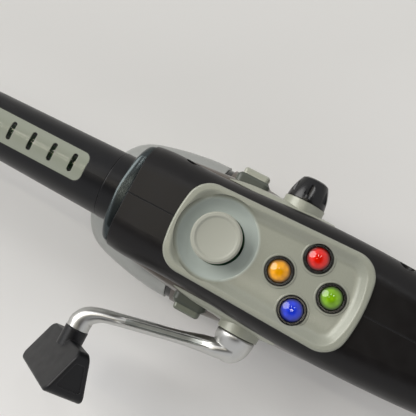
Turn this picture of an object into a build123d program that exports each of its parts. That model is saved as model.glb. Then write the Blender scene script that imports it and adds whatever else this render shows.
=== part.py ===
from build123d import *
import math
import os

os.makedirs("parts", exist_ok=True)

# Fishing rod game controller, all sizes in millimetres.
# Frame: X = 0 is the flat end of the grip, +X runs to the rod's tip,
# +Y is the crank side, +Z is the side with the face plate. The rod's own axis is y = 0, z = 0.

# Round cells in line, and the bay in the grip that holds them
CELL_R = 7.2
CELL_L = 50.0
BAY_X0 = 17.0
BAY_SPARE = 7.0         # room for the two contacts and the end walls
BAY_X1 = BAY_X0 + 2 * CELL_L + BAY_SPARE

# Stations along the rod
X_AXLE = BAY_X1 + 51.0  # crank axle, from the end of the grip
X_FRONT = X_AXLE + 58.0     # front end of the moulded body
X_COLLAR = X_FRONT + 4.4    # front of the bevelled ring
X_SEAM = X_COLLAR + 5.7     # collar meets the tube
TUBE_L = 166.9          # length beyond the photograph is a guess
X_TIP = X_SEAM + TUBE_L     # end of the tube
Z_AXLE = -11.0          # crank axle, below the rod's axis
Z_FLOOR = -20.0         # bottom of the body, where the reel is seated
Z_REEL = -40.5          # middle of the reel
Z_STAND = -58.4         # flat under the reel, on which the controller stands

# Walls and clearances
WALL = 2.4
RUN = 0.06              # radial clearance of a turning fit
SLIDE = 0.10            # clearance round a button
GAP = 0.15              # clearance between panels
AIR = 0.3               # clear space between parts that pass each other

# Crank
AXLE_R = 3.0
BUSH_R = 5.0
BOSS_R = 8.3
BOSS_Y = 28.4           # outer face of each boss
HUB_R = 7.75
PADDLE_X = X_AXLE + 56.4
PADDLE_PIN_R = 2.0
PADDLE_TILT = 55.0      # how far the paddle is turned on its pin at rest, degrees

# Face plate, stick and buttons
X_PAD = X_AXLE - 14.5   # middle of the four buttons
PAD_PITCH = 10.25       # from that middle to each button
X_STICK = X_AXLE + 20.6
Z_PLATE = 13.0          # floor of the dish
Z_RIM = 15.4            # top of the plate's rim
BUTTON_R = 5.25
CORE_R = 4.1
STICK_HOLE_R = 9.5
STICK_CAP_R = 9.3
Z_PIVOT = 4.5
SKIRT_R = 10.4
Z_BOARD = 2.6           # top of the main board
BOARD_T = 1.6

# Tube
TUBE_R0 = 13.35
TUBE_SLOPE = 0.0225     # radius lost per millimetre of length
SPIGOT_R = 10.5
PANEL_X0 = X_AXLE + 76.9
SLOT_X0 = X_AXLE + 82.4
SLOT_PITCH = 9.1
SLOT_COUNT = 6
PANEL_HALF = 5.8
PANEL_T = 1.3
LENS_T = 0.9


def tube_r(x):
    """Outer radius of the tapering tube at station x."""
    return TUBE_R0 - TUBE_SLOPE * (x - X_SEAM)


def across(x, z=0.0):
    """Plane square to the rod, its first axis along +Y and its second along +Z."""
    return Plane(origin=(x, 0, z), x_dir=(0, 1, 0), z_dir=(1, 0, 0))


def sideways(y, x=0.0, z=0.0):
    """Plane square to the crank axle, its first axis along +X, its second along -Z."""
    return Plane(origin=(x, y, z), x_dir=(1, 0, 0), z_dir=(0, 1, 0))


def level(z, x=0.0):
    """Plane parallel to the face plate."""
    return Plane(origin=(x, 0, z), x_dir=(1, 0, 0), z_dir=(0, 0, 1))


# Outer form of the black grip: station from the axle, half width, top, bottom, corner radius
GRIP = [
    (3.0 - X_AXLE, 16.8, 13.2, -17.0, 13.0),
    (40.0 - X_AXLE, 16.8, 12.8, -17.5, 12.5),
    (-100.0, 18.6, 12.6, -18.5, 12.5),
    (-72.0, 22.0, 12.7, -19.0, 12.5),
    (-50.0, 23.4, 13.3, -19.5, 12.0),
    (-30.0, 24.0, 13.9, -20.0, 11.5),
    (-8.0, 23.8, 14.2, -20.0, 11.5),
    (18.0, 22.2, 14.6, -20.0, 11.5),
    (38.0, 21.6, 14.6, -20.0, 11.5),
    (58.0, 21.0, 13.8, -20.0, 11.5),
]

with BuildPart() as grip_form:
    for gx, gw, gt, gb, gr in GRIP:
        with BuildSketch(across(X_AXLE + gx, (gt + gb) / 2)):
            RectangleRounded(2 * gw, gt - gb, gr)
    loft()

with BuildPart() as grip_core:
    for gx, gw, gt, gb, gr in GRIP[:-1]:
        with BuildSketch(across(X_AXLE + gx - (1.0 if gx == GRIP[0][0] else 0.0), (gt + gb) / 2)):
            RectangleRounded(2 * (gw - WALL), gt - gb - 2 * WALL, gr - WALL)
    with BuildSketch(across(X_FRONT - 3.0, -3.1)):
        RectangleRounded(2 * (21.0 - WALL), 33.8 - 2 * WALL, 11.5 - WALL)
    loft()

# Lower body that carries the axle: station, half width at the top and at the bottom
LOWER = [
    (-46.0, 22.6, 22.0),
    (-30.0, 23.9, 25.2),
    (-10.0, 24.0, 26.6),
    (12.0, 23.9, 27.0),
    (29.0, 23.4, 26.2),
    (42.0, 22.6, 24.4),
    (58.0, 21.0, 21.4),
]


LOWER_ROUND = 5.0       # rounding of the bottom edges


def lower_form(shrink):
    """Flared body under the black shells, its walls moved in by shrink."""
    with BuildPart() as form:
        for index, (lx, lw, lb) in enumerate(LOWER):
            ends = {0: shrink, len(LOWER) - 1: -shrink}
            with BuildSketch(across(X_AXLE + lx + ends.get(index, 0.0))) as flare:
                with BuildLine():
                    Polyline(
                        (-(lw - shrink), 0.0),
                        (lw - shrink, 0.0),
                        (lb - shrink, Z_FLOOR + shrink),
                        (-(lb - shrink), Z_FLOOR + shrink),
                        close=True,
                    )
                make_face()
                fillet(flare.vertices().group_by(Axis.Z)[0], LOWER_ROUND - shrink)
        loft()
    return form.part


lower_outer = lower_form(0.0)
lower_inner = lower_form(WALL)

# Screw posts and ledges, left standing when the body is hollowed
POSTS = [(X_AXLE + 43.0, 5.2), (X_AXLE - 43.6, 5.2), (BAY_X0 - 7.0, -2.0)]
LEDGES = [X_AXLE - 31.0, X_AXLE + 6.0, X_AXLE + 33.0]

# Battery tray and door, round the cells
Z_CELL = -5.2
TRAY_HALF = CELL_R + 2.1
TRAY_TOP = Z_CELL + CELL_R + 1.6
TRAY_BOTTOM = Z_CELL - 6.0
TRAY_EARS = [BAY_X0 + 12.0, BAY_X1 - 12.0]
Z_EAR = -1.0
DOOR_X0 = BAY_X0 + 2.0
DOOR_X1 = BAY_X1 - 6.0
DOOR_HALF = TRAY_HALF + 0.1

PLATE_FRONT = 38.4      # plate's front and rear ends, from the axle
PLATE_REAR = 36.8
PLATE_BULGE = 3.0       # how far each end bows outward
PLATE_HALF_FRONT = 17.3
PLATE_HALF_REAR = 19.1
PLATE_CORNER = 9.5


def plate_prism(bottom, height, grow, taper=0.0):
    """Block with the plate's outline, grown or shrunk all round."""
    front = PLATE_FRONT - PLATE_BULGE + grow
    rear = -(PLATE_REAR - PLATE_BULGE + grow)
    wide = PLATE_HALF_REAR + grow
    narrow = PLATE_HALF_FRONT + grow
    with BuildPart() as prism:
        with BuildSketch(level(bottom, X_AXLE)) as outline:
            with BuildLine():
                ThreePointArc((front, -narrow), (front + PLATE_BULGE, 0.0), (front, narrow))
                Line((front, narrow), (rear, wide))
                ThreePointArc((rear, wide), (rear - PLATE_BULGE, 0.0), (rear, -wide))
                Line((rear, -wide), (front, -narrow))
            make_face()
            fillet(outline.vertices(), PLATE_CORNER + grow)
        extrude(amount=height, taper=taper)
    return prism.part


PLATE_SEAT = 9.6
plate_pocket = plate_prism(PLATE_SEAT, 12.0, GAP)
seat_ring = plate_prism(PLATE_SEAT - 2.0, 5.4, 2.2) - plate_prism(0.0, 30.0, -1.6)

with BuildPart() as standing:
    for px, pz in POSTS:
        with BuildSketch(sideways(-30.0, px, pz)):
            Circle(3.2)
        extrude(amount=60.0)
    for lx in LEDGES:
        for side in (-1, 1):
            with Locations((lx, side * 19.0, Z_BOARD - BOARD_T)):
                Box(4.0, 9.0, 2.4, align=(Align.CENTER, Align.CENTER, Align.MAX))
    for lx in TRAY_EARS:
        for side in (-1, 1):
            with Locations((lx, side * (TRAY_HALF + 8.2), Z_EAR)):
                Box(8.0, 14.0, 3.0, align=(Align.CENTER, Align.CENTER, Align.MAX))
    add(seat_ring)

with BuildPart() as upper_cavity:
    add(grip_core.part)
    add(standing.part, mode=Mode.SUBTRACT)

with BuildPart() as door_opening:
    with Locations(((DOOR_X0 + DOOR_X1) / 2, 0, Z_CELL - CELL_R)):
        Box(
            DOOR_X1 - DOOR_X0,
            2 * DOOR_HALF,
            20.0,
            align=(Align.CENTER, Align.CENTER, Align.MAX),
        )

with BuildPart() as door_opening_wide:
    with Locations(((DOOR_X0 + DOOR_X1) / 2, 0, Z_CELL - CELL_R + 0.5)):
        Box(
            DOOR_X1 - DOOR_X0 + 2 * GAP,
            2 * (DOOR_HALF + GAP),
            20.0,
            align=(Align.CENTER, Align.CENTER, Align.MAX),
        )


HALVES = {side: Pos(X_AXLE, side * 50.0, 0) * Box(600.0, 100.0, 200.0) for side in (-1, 1)}


LOWER_SPAN = LOWER[-1][0] - LOWER[0][0] + 2.0


def black_shell(side):
    """One of the two upper half shells, side +1 left and -1 right."""
    with BuildPart() as shell:
        add(grip_form.part)
        add(upper_cavity.part, mode=Mode.SUBTRACT)
        with Locations((X_AXLE + LOWER[0][0] - GAP, 0, 0)):
            Box(
                LOWER_SPAN,
                100.0,
                60.0,
                align=(Align.MIN, Align.CENTER, Align.MAX),
                mode=Mode.SUBTRACT,
            )
        add(plate_pocket, mode=Mode.SUBTRACT)
        add(door_opening_wide.part, mode=Mode.SUBTRACT)
        with BuildSketch(across(X_FRONT - 12.0)):
            Circle(SPIGOT_R + 0.05)
        extrude(amount=20.0, mode=Mode.SUBTRACT)
        for px, pz in POSTS:
            with BuildSketch(sideways(-40.0, px, pz)):
                Circle(1.1)
            extrude(amount=52.0, mode=Mode.SUBTRACT)
            if side < 0:
                with BuildSketch(sideways(-40.0, px, pz)):
                    Circle(3.0)
                extrude(amount=40.0 - 11.0, mode=Mode.SUBTRACT)
        add(HALVES[side], mode=Mode.INTERSECT)
    return shell.part


left_shell_form = black_shell(1)
with BuildPart() as left_shell:
    add(left_shell_form)
left_shell.part.label = "left_shell"
export_step(left_shell.part, "parts/left_shell.step")

right_shell_form = black_shell(-1)
with BuildPart() as right_shell:
    add(right_shell_form)
right_shell.part.label = "right_shell"
export_step(right_shell.part, "parts/right_shell.step")

# Screws that hold the reel under the body
REEL_SCREWS = [X_AXLE + 24.0, X_AXLE - 20.0]
SCREW_Y = 8.6

# Lower body halves, with a seat for the inlay and a hole for the axle's bush
INLAY_TIP = 29.2
INLAY_TAIL = -15.0
INLAY_DEPTH = 1.6


def inlay_outline(y, grow=0.0):
    """Teardrop rail that widens into the round boss, drawn square to the axle."""
    with BuildSketch(sideways(y, X_AXLE, 0.0)) as outline:
        with BuildLine():
            Polyline(
                (INLAY_TIP, 0.9),
                (INLAY_TAIL, 0.9),
                (INLAY_TAIL + 1.5, 6.0),
                (-8.2, 13.0),
                (8.2, 13.0),
                (12.5, 5.4),
                (INLAY_TIP, 1.5),
                close=True,
            )
        make_face()
        with Locations((0, -Z_AXLE)):
            Circle(BOSS_R)
        if grow:
            offset(amount=grow)
    return outline.sketch


def lower_half(side):
    """One half of the lower body, side +1 left and -1 right."""
    seat = inlay_outline(side * 18.0, GAP)
    with BuildPart() as half:
        add(lower_outer)
        add(lower_inner, mode=Mode.SUBTRACT)
        for px in REEL_SCREWS:
            with BuildSketch(level(Z_FLOOR, px)):
                with Locations((0, side * SCREW_Y)):
                    Circle(3.0)
            extrude(amount=6.0)
            with BuildSketch(level(Z_FLOOR - 1.0, px)):
                with Locations((0, side * SCREW_Y)):
                    Circle(1.3)
            extrude(amount=12.0, mode=Mode.SUBTRACT)
        with BuildSketch(sideways(side * 20.0, X_AXLE, Z_AXLE)):
            Circle(BUSH_R + 2.6)
        extrude(amount=side * 5.4)
        with BuildSketch(sideways(side * 18.0, X_AXLE, Z_AXLE)):
            Circle(BUSH_R)
        extrude(amount=side * 14.0, mode=Mode.SUBTRACT)
        with BuildSketch(across(X_FRONT - 12.0)):
            Circle(SPIGOT_R + 0.05)
        extrude(amount=20.0, mode=Mode.SUBTRACT)
        add(HALVES[side], mode=Mode.INTERSECT)
        add(INLAY_SEATS[side], mode=Mode.SUBTRACT)
        add(FLANK_SEATS[side], mode=Mode.SUBTRACT)
    return half.part


# Seat depth: the rail lies on a flat floor this far from the seam
SEAT_Y = 22.6


def inlay_block(side, start, stop, grow):
    """Prism of the inlay outline between two distances from the seam."""
    outline = inlay_outline(side * start, grow)
    with BuildPart() as block:
        add(extrude(outline, amount=side * (stop - start), mode=Mode.PRIVATE))
    return block.part


INLAY_SEATS = {side: inlay_block(side, SEAT_Y, 40.0, GAP) for side in (-1, 1)}

# Flank buttons: a dark wedge on each side that carries a rounded bar
FLANK_X0 = X_AXLE + 14.8
FLANK_X1 = X_AXLE + 28.6
Z_FLANK = -11.0
FLANK_H = 8.0
FLANK_Y0 = 23.4
BAR_X0 = X_AXLE + 16.2
BAR_X1 = X_AXLE + 27.0
BAR_H = 4.6
BAR_Y1 = 31.0
BAR_TRAVEL = 1.2


def flank_block(side, start, stop, grow, x0, x1, height):
    """Rounded block on one flank between two distances from the seam."""
    with BuildPart() as block:
        with BuildSketch(sideways(side * start, (x0 + x1) / 2, Z_FLANK)):
            RectangleRounded(x1 - x0 + 2 * grow, height + 2 * grow, height * 0.3)
        extrude(amount=side * (stop - start))
    return block.part


FLANK_SEATS = {
    side: flank_block(side, 20.0, 40.0, GAP, FLANK_X0, FLANK_X1, FLANK_H) for side in (-1, 1)
}

left_lower_form = lower_half(1)
with BuildPart() as left_lower:
    add(left_lower_form)
left_lower.part.label = "left_lower"
export_step(left_lower.part, "parts/left_lower.step")

right_lower_form = lower_half(-1)
with BuildPart() as right_lower:
    add(right_lower_form)
right_lower.part.label = "right_lower"
export_step(right_lower.part, "parts/right_lower.step")

inlay_skin = lower_form(-0.7)


def inlay(side):
    """Light rail and boss on one flank."""
    rail = inlay_block(side, SEAT_Y, 40.0, 0.0)
    with BuildPart() as piece:
        add(rail)
        add(inlay_skin, mode=Mode.INTERSECT)
        with BuildSketch(sideways(side * SEAT_Y, X_AXLE, Z_AXLE)):
            Circle(BOSS_R)
        extrude(amount=side * (BOSS_Y - SEAT_Y))
        with BuildSketch(sideways(side * 18.0, X_AXLE, Z_AXLE)):
            Circle(BUSH_R)
        extrude(amount=side * 14.0, mode=Mode.SUBTRACT)
    return piece.part


left_inlay_form = inlay(1)
with BuildPart() as left_inlay:
    add(left_inlay_form)
left_inlay.part.label = "left_inlay"
export_step(left_inlay.part, "parts/left_inlay.step")

right_inlay_form = inlay(-1)
with BuildPart() as right_inlay:
    add(right_inlay_form)
right_inlay.part.label = "right_inlay"
export_step(right_inlay.part, "parts/right_inlay.step")


def flank_base(side):
    """Dark wedge round one flank button, open in the middle for the bar."""
    block = flank_block(side, 21.0, 28.4, 0.0, FLANK_X0, FLANK_X1, FLANK_H)
    hole = flank_block(side, 22.4, 40.0, SLIDE, BAR_X0, BAR_X1, BAR_H)
    with BuildPart() as base:
        add(block)
        slope = base.faces().sort_by(Axis.Y)[-1 if side > 0 else 0]
        chamfer(slope.edges(), 1.2)
        add(hole, mode=Mode.SUBTRACT)
    return base.part


def flank_bar(side):
    """Rounded bar pressed by a finger."""
    bar = flank_block(side, 24.0, BAR_Y1, 0.0, BAR_X0, BAR_X1, BAR_H)
    with BuildPart() as button:
        add(bar)
        crown = button.faces().sort_by(Axis.Y)[-1 if side > 0 else 0]
        fillet(crown.edges(), 1.1)
    return button.part


left_flank_base_form = flank_base(1)
with BuildPart() as left_flank_base:
    add(left_flank_base_form)
left_flank_base.part.label = "left_flank_base"
export_step(left_flank_base.part, "parts/left_flank_base.step")

right_flank_base_form = flank_base(-1)
with BuildPart() as right_flank_base:
    add(right_flank_base_form)
right_flank_base.part.label = "right_flank_base"
export_step(right_flank_base.part, "parts/right_flank_base.step")

left_flank_bar_form = flank_bar(1)
with BuildPart() as left_flank_button:
    add(left_flank_bar_form)
left_flank_button.part.label = "left_flank_button"
export_step(left_flank_button.part, "parts/left_flank_button.step")

right_flank_bar_form = flank_bar(-1)
with BuildPart() as right_flank_button:
    add(right_flank_bar_form)
right_flank_button.part.label = "right_flank_button"
export_step(right_flank_button.part, "parts/right_flank_button.step")

# Bevelled ring over the front end of the body
with BuildPart() as front_ring:
    with BuildSketch(across(X_FRONT, -3.1)):
        RectangleRounded(42.0, 33.8, 11.5)
    extrude(amount=X_COLLAR - X_FRONT, taper=28.0)
    with BuildSketch(across(X_FRONT)):
        Circle(SPIGOT_R + 0.05)
    extrude(amount=10.0, mode=Mode.SUBTRACT)
front_ring.part.label = "front_ring"
export_step(front_ring.part, "parts/front_ring.step")

# Collar between the ring and the tube
with BuildPart() as front_collar:
    with BuildSketch(Plane.XZ):
        with BuildLine():
            Polyline(
                (X_COLLAR, SPIGOT_R + 0.05),
                (X_COLLAR, 15.2),
                (X_COLLAR + 1.2, 14.2),
                (X_SEAM - 0.5, 13.9),
                (X_SEAM, 13.5),
                (X_SEAM, SPIGOT_R + 0.05),
                close=True,
            )
        make_face()
    revolve(axis=Axis.X)
front_collar.part.label = "front_collar"
export_step(front_collar.part, "parts/front_collar.step")


def cone_shell(x0, x1, outer_inset, inner_inset):
    """Length of the tapering tube between two depths below its surface."""
    with BuildPart() as length:
        with BuildSketch(Plane.XZ):
            with BuildLine():
                Polyline(
                    (x0, tube_r(x0) - inner_inset),
                    (x0, tube_r(x0) - outer_inset),
                    (x1, tube_r(x1) - outer_inset),
                    (x1, tube_r(x1) - inner_inset),
                    close=True,
                )
            make_face()
        revolve(axis=Axis.X)
    return length.part


PANEL_X1 = SLOT_X0 + (SLOT_COUNT - 1) * SLOT_PITCH + 5.6
PANEL_MID = (PANEL_X0 + PANEL_X1) / 2
POCKET_T = PANEL_T + LENS_T
TUBE_WALL = 3.2
tube_full = cone_shell(X_SEAM, X_TIP, 0.0, TUBE_WALL)


def panel_prism(length, half, radius):
    """Upright block over the panel's place on the tube."""
    with BuildPart() as block:
        with BuildSketch(level(0.0, PANEL_MID)):
            RectangleRounded(length, 2 * half, radius)
        extrude(amount=20.0)
    return block.part


PANEL_L = PANEL_X1 - PANEL_X0
tube_pocket = cone_shell(PANEL_X0 - 3, PANEL_X1 + 3, -1.0, POCKET_T) & panel_prism(
    PANEL_L + 2 * GAP, PANEL_HALF + GAP, 3.0 + GAP
)
light_gap = panel_prism(PANEL_L - 8.0, 2.6, 1.0)
Z_LED_BOARD = 5.0

with BuildPart() as rod_tube:
    add(tube_full)
    with BuildSketch(across(X_FRONT - 6.0)):
        Circle(SPIGOT_R)
    extrude(amount=X_SEAM + 2.0 - (X_FRONT - 6.0))
    with BuildSketch(across(X_FRONT - 6.0)):
        Circle(SPIGOT_R - 2.2)
    extrude(amount=X_SEAM + 4.0 - (X_FRONT - 6.0), mode=Mode.SUBTRACT)
    for side in (-1, 1):
        with Locations((PANEL_MID, side * 7.0, Z_LED_BOARD)):
            Box(PANEL_L + 2.0, 6.0, 1.6, align=(Align.CENTER, Align.CENTER, Align.MAX))
    add(tube_pocket, mode=Mode.SUBTRACT)
    add(light_gap, mode=Mode.SUBTRACT)
rod_tube.part.label = "rod_tube"
export_step(rod_tube.part, "parts/rod_tube.step")

panel_skin = cone_shell(PANEL_X0 - 3, PANEL_X1 + 3, 0.0, PANEL_T)
with BuildPart() as tube_panel:
    add(panel_prism(PANEL_L, PANEL_HALF, 3.0))
    add(panel_skin, mode=Mode.INTERSECT)
    for index in range(SLOT_COUNT):
        with BuildSketch(level(0.0, SLOT_X0 + index * SLOT_PITCH)):
            RectangleRounded(2.0, 7.3, 0.9)
        extrude(amount=20.0, mode=Mode.SUBTRACT)
tube_panel.part.label = "tube_panel"
export_step(tube_panel.part, "parts/tube_panel.step")

LENS_SEAT = 0.04
lens_skin = cone_shell(PANEL_X0 - 3, PANEL_X1 + 3, PANEL_T, POCKET_T - LENS_SEAT)
lens_tall = cone_shell(PANEL_X0 - 3, PANEL_X1 + 3, 0.35, POCKET_T - LENS_SEAT)
lens_base = panel_prism(PANEL_L - 0.4, PANEL_HALF - 0.2, 2.8) & lens_skin
with BuildPart() as light_lens:
    for index in range(SLOT_COUNT):
        with BuildSketch(level(0.0, SLOT_X0 + index * SLOT_PITCH)):
            RectangleRounded(1.9, 7.2, 0.85)
        extrude(amount=20.0)
    add(lens_tall, mode=Mode.INTERSECT)
    add(lens_base)
light_lens.part.label = "light_lens"
export_step(light_lens.part, "parts/light_lens.step")

with BuildPart() as light_board:
    with Locations((PANEL_MID, 0, Z_LED_BOARD)):
        Box(PANEL_L, 12.0, 1.0, align=(Align.CENTER, Align.CENTER, Align.MIN))
    for index in range(SLOT_COUNT):
        with Locations((SLOT_X0 + index * SLOT_PITCH, 0, Z_LED_BOARD + 1.0)):
            Box(1.6, 3.2, 1.1, align=(Align.CENTER, Align.CENTER, Align.MIN))
light_board.part.label = "light_board"
export_step(light_board.part, "parts/light_board.step")

# Rounded cap on the tip, its plug held in the tube
TIP_R = tube_r(X_TIP)
TIP_FLAT = 1.5
with BuildPart() as tip_cap:
    with BuildSketch(Plane.XZ):
        with BuildLine():
            Polyline(
                (X_TIP + 5.0 + TIP_R, TIP_FLAT),
                (X_TIP + 5.0 + TIP_R, 0.0),
                (X_TIP - 9.0, 0.0),
                (X_TIP - 9.0, TIP_R - TUBE_WALL - 0.05),
                (X_TIP, TIP_R - TUBE_WALL - 0.05),
                (X_TIP, TIP_R),
                (X_TIP + 5.0, TIP_R),
            )
            ThreePointArc(
                (X_TIP + 5.0, TIP_R),
                (X_TIP + 5.0 + TIP_R * 0.72, TIP_R * 0.72),
                (X_TIP + 5.0 + TIP_R, TIP_FLAT),
            )
        make_face()
    revolve(axis=Axis.X)
tip_cap.part.label = "tip_cap"
export_step(tip_cap.part, "parts/tip_cap.step")

# Flat cap on the end of the grip
with BuildPart() as butt_cap:
    with BuildSketch(across(0.0, -1.9)):
        RectangleRounded(33.6, 30.2, 12.9)
    extrude(amount=3.0)
    with BuildSketch(across(3.0, -1.9)):
        RectangleRounded(33.6 - 2 * WALL - 2 * GAP, 30.2 - 2 * WALL - 2 * GAP, 10.4)
    extrude(amount=3.0)
    chamfer(butt_cap.faces().sort_by(Axis.X)[0].edges(), 1.2)
butt_cap.part.label = "butt_cap"
export_step(butt_cap.part, "parts/butt_cap.step")

# Face plate: a shallow dish with a raised rim, a bowl for the stick and four button holes
BUTTON_SPOTS = {
    "front": (X_PAD + PAD_PITCH, 0.0),
    "right": (X_PAD, -PAD_PITCH),
    "rear": (X_PAD - PAD_PITCH, 0.0),
    "left": (X_PAD, PAD_PITCH),
}
BOWL_R = 14.6
Z_BOWL = 10.0
PLATE_T = 2.2
HOLE_R = BUTTON_R + SLIDE

DISH_SOFT = 4.0         # rounding where the dish's sloped wall meets its floor
LIP_SOFT = 1.2          # rounding of the lip at the top of that wall
UNDERCUT = 0.9          # the stick's hole widens downwards, clear of the leaning skirt
RING_RISE = 0.3         # raised ring round each button hole

with BuildPart() as dish:
    add(plate_prism(Z_PLATE, Z_RIM - Z_PLATE, -5.2, taper=-52.0))
    fillet(dish.faces().sort_by(Axis.Z)[0].edges(), DISH_SOFT)

with BuildPart() as face_plate:
    add(plate_prism(PLATE_SEAT, Z_RIM - PLATE_SEAT, 0.0))
    rim = face_plate.faces().sort_by(Axis.Z)[-1]
    fillet(rim.edges(), 0.9)
    add(dish.part, mode=Mode.SUBTRACT)
    rim = face_plate.faces().filter_by(Axis.Z).sort_by(Axis.Z)[-1]
    fillet(rim.inner_wires()[0].edges(), LIP_SOFT)
    add(plate_prism(PLATE_SEAT - 1.0, Z_PLATE - PLATE_T - PLATE_SEAT + 1.0, -1.6), mode=Mode.SUBTRACT)
    with BuildSketch(Plane(origin=(X_STICK, 0, 0), x_dir=(1, 0, 0), z_dir=(0, -1, 0))):
        with BuildLine():
            Polyline(
                (0.0, Z_BOWL - PLATE_T),
                (STICK_HOLE_R + UNDERCUT + 1.1, Z_BOWL - PLATE_T),
                (BOWL_R + 1.2, Z_PLATE - PLATE_T),
                (BOWL_R + 1.2, Z_PLATE - 0.4),
                (0.0, Z_PLATE - 0.4),
                close=True,
            )
        make_face()
    revolve(axis=Axis((X_STICK, 0, 0), (0, 0, 1)))
    with BuildSketch(Plane(origin=(X_STICK, 0, 0), x_dir=(1, 0, 0), z_dir=(0, -1, 0))):
        with BuildLine():
            Polyline(
                (0.0, Z_BOWL - PLATE_T - 1.0),
                (STICK_HOLE_R + UNDERCUT + 0.4, Z_BOWL - PLATE_T - 1.0),
                (STICK_HOLE_R + UNDERCUT, Z_BOWL - PLATE_T),
                (STICK_HOLE_R, Z_BOWL - 0.4),
                (STICK_HOLE_R, Z_BOWL),
            )
            ThreePointArc((STICK_HOLE_R, Z_BOWL), (BOWL_R - 2.1, Z_BOWL + 1.1), (BOWL_R, Z_PLATE))
            Polyline(
                (BOWL_R, Z_PLATE),
                (BOWL_R + 1.4, Z_PLATE + 1.2),
                (BOWL_R + 1.4, Z_PLATE + 4.0),
                (0.0, Z_PLATE + 4.0),
                (0.0, Z_BOWL - PLATE_T - 1.0),
            )
        make_face()
    revolve(axis=Axis((X_STICK, 0, 0), (0, 0, 1)), mode=Mode.SUBTRACT)
    for bx, by in BUTTON_SPOTS.values():
        with BuildSketch(level(Z_PLATE - 1.0, 0.0)):
            with Locations((bx, by)):
                Circle(BUTTON_R + 0.95)
        extrude(amount=1.0 + RING_RISE)
        with BuildSketch(level(PLATE_SEAT, 0.0)):
            with Locations((bx, by)):
                Circle(HOLE_R)
        extrude(amount=6.0, mode=Mode.SUBTRACT)
    ring_edges = [
        edge
        for edge in face_plate.edges().filter_by(GeomType.CIRCLE)
        if abs(edge.center().Z - Z_PLATE - RING_RISE) < 0.001 and edge.length > 20.0
    ]
    fillet(ring_edges, RING_RISE - 0.02)
face_plate.part.label = "face_plate"
export_step(face_plate.part, "parts/face_plate.step")

# Four buttons, each a black sleeve, a coloured core and a clear domed cap
Z_FLANGE = Z_PLATE - PLATE_T - 0.05
Z_SLEEVE = 6.0
SLEEVE_TOP = 13.9
DOME_TOP = 15.3
BUTTON_TRAVEL = 0.8
DOME_GAP = BUTTON_TRAVEL + 0.05  # the pad's domes stop just short of a pressed button


def button_sleeve(spot):
    """Black guide of one button with the flange that stops it under the plate."""
    with BuildPart() as sleeve:
        with BuildSketch(level(Z_SLEEVE)):
            with Locations(spot):
                Circle(BUTTON_R)
        extrude(amount=SLEEVE_TOP - Z_SLEEVE)
        with BuildSketch(level(Z_FLANGE - 1.0)):
            with Locations(spot):
                Circle(BUTTON_R + 0.8)
        extrude(amount=1.0)
        with BuildSketch(level(Z_SLEEVE + 1.2)):
            with Locations(spot):
                Circle(CORE_R + 0.05)
        extrude(amount=12.0, mode=Mode.SUBTRACT)
        top = sleeve.edges().filter_by(GeomType.CIRCLE).sort_by(Axis.Z)[-2:]
        chamfer(top, 0.25)
    return sleeve.part


def button_core(spot):
    """Coloured disc under the clear cap."""
    with BuildPart() as core:
        with BuildSketch(level(Z_SLEEVE + 1.2)):
            with Locations(spot):
                Circle(CORE_R)
        extrude(amount=Z_PLATE - 0.6 - (Z_SLEEVE + 1.2))
    return core.part


def button_dome(spot):
    """Clear cap with a rounded top."""
    base = Z_PLATE - 0.6
    rise = DOME_TOP - SLEEVE_TOP + 0.2
    with BuildPart() as dome:
        with BuildSketch(Plane(origin=(spot[0], spot[1], 0), x_dir=(1, 0, 0), z_dir=(0, -1, 0))):
            with BuildLine():
                Polyline(
                    (0.6, DOME_TOP),
                    (0.0, DOME_TOP),
                    (0.0, base),
                    (CORE_R, base),
                    (CORE_R, DOME_TOP - rise),
                )
                ThreePointArc(
                    (CORE_R, DOME_TOP - rise),
                    (CORE_R * 0.62, DOME_TOP - rise * 0.36),
                    (0.6, DOME_TOP),
                )
            make_face()
        revolve(axis=Axis((spot[0], spot[1], 0), (0, 0, 1)))
    return dome.part


for name, spot in BUTTON_SPOTS.items():
    sleeve_form = button_sleeve(spot)
    with BuildPart() as button_ring:
        add(sleeve_form)
    button_ring.part.label = "button_ring_" + name
    export_step(button_ring.part, "parts/button_ring_" + name + ".step")
    core_form = button_core(spot)
    with BuildPart() as button_disc:
        add(core_form)
    button_disc.part.label = "button_core_" + name
    export_step(button_disc.part, "parts/button_core_" + name + ".step")
    dome_form = button_dome(spot)
    with BuildPart() as button_cap:
        add(dome_form)
    button_cap.part.label = "button_cap_" + name
    export_step(button_cap.part, "parts/button_cap_" + name + ".step")

# Rubber pad with one dome under each button
with BuildPart() as button_pad:
    with BuildSketch(level(Z_BOARD, X_PAD)):
        RectangleRounded(29.0, 29.0, 4.0)
    extrude(amount=0.9)
    for bx, by in BUTTON_SPOTS.values():
        with BuildSketch(level(Z_BOARD + 0.9)):
            with Locations((bx, by)):
                Circle(4.0)
        extrude(amount=Z_SLEEVE - DOME_GAP - Z_BOARD - 0.9, taper=22.0)
button_pad.part.label = "button_pad"
export_step(button_pad.part, "parts/button_pad.step")

# Thumbstick sizes
PIN_R = 0.9
YOKE_IN = 2.6
YOKE_OUT = 3.6
YOKE_WINDOW = (2 * (YOKE_OUT + 0.5), 2 * (YOKE_OUT + 0.9))
BASE_OUT = 5.6

# Main board on the ledges of the shells, cut away under the stick's yoke so that it can lean
with BuildPart() as main_board:
    with BuildSketch(level(Z_BOARD - BOARD_T, X_AXLE)):
        with Locations((0.5, 0)):
            RectangleRounded(72.0, 34.0, 4.0)
        with Locations((X_STICK - X_AXLE, 0)):
            RectangleRounded(*YOKE_WINDOW, 0.8, mode=Mode.SUBTRACT)
    extrude(amount=BOARD_T)
main_board.part.label = "main_board"
export_step(main_board.part, "parts/main_board.step")

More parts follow.
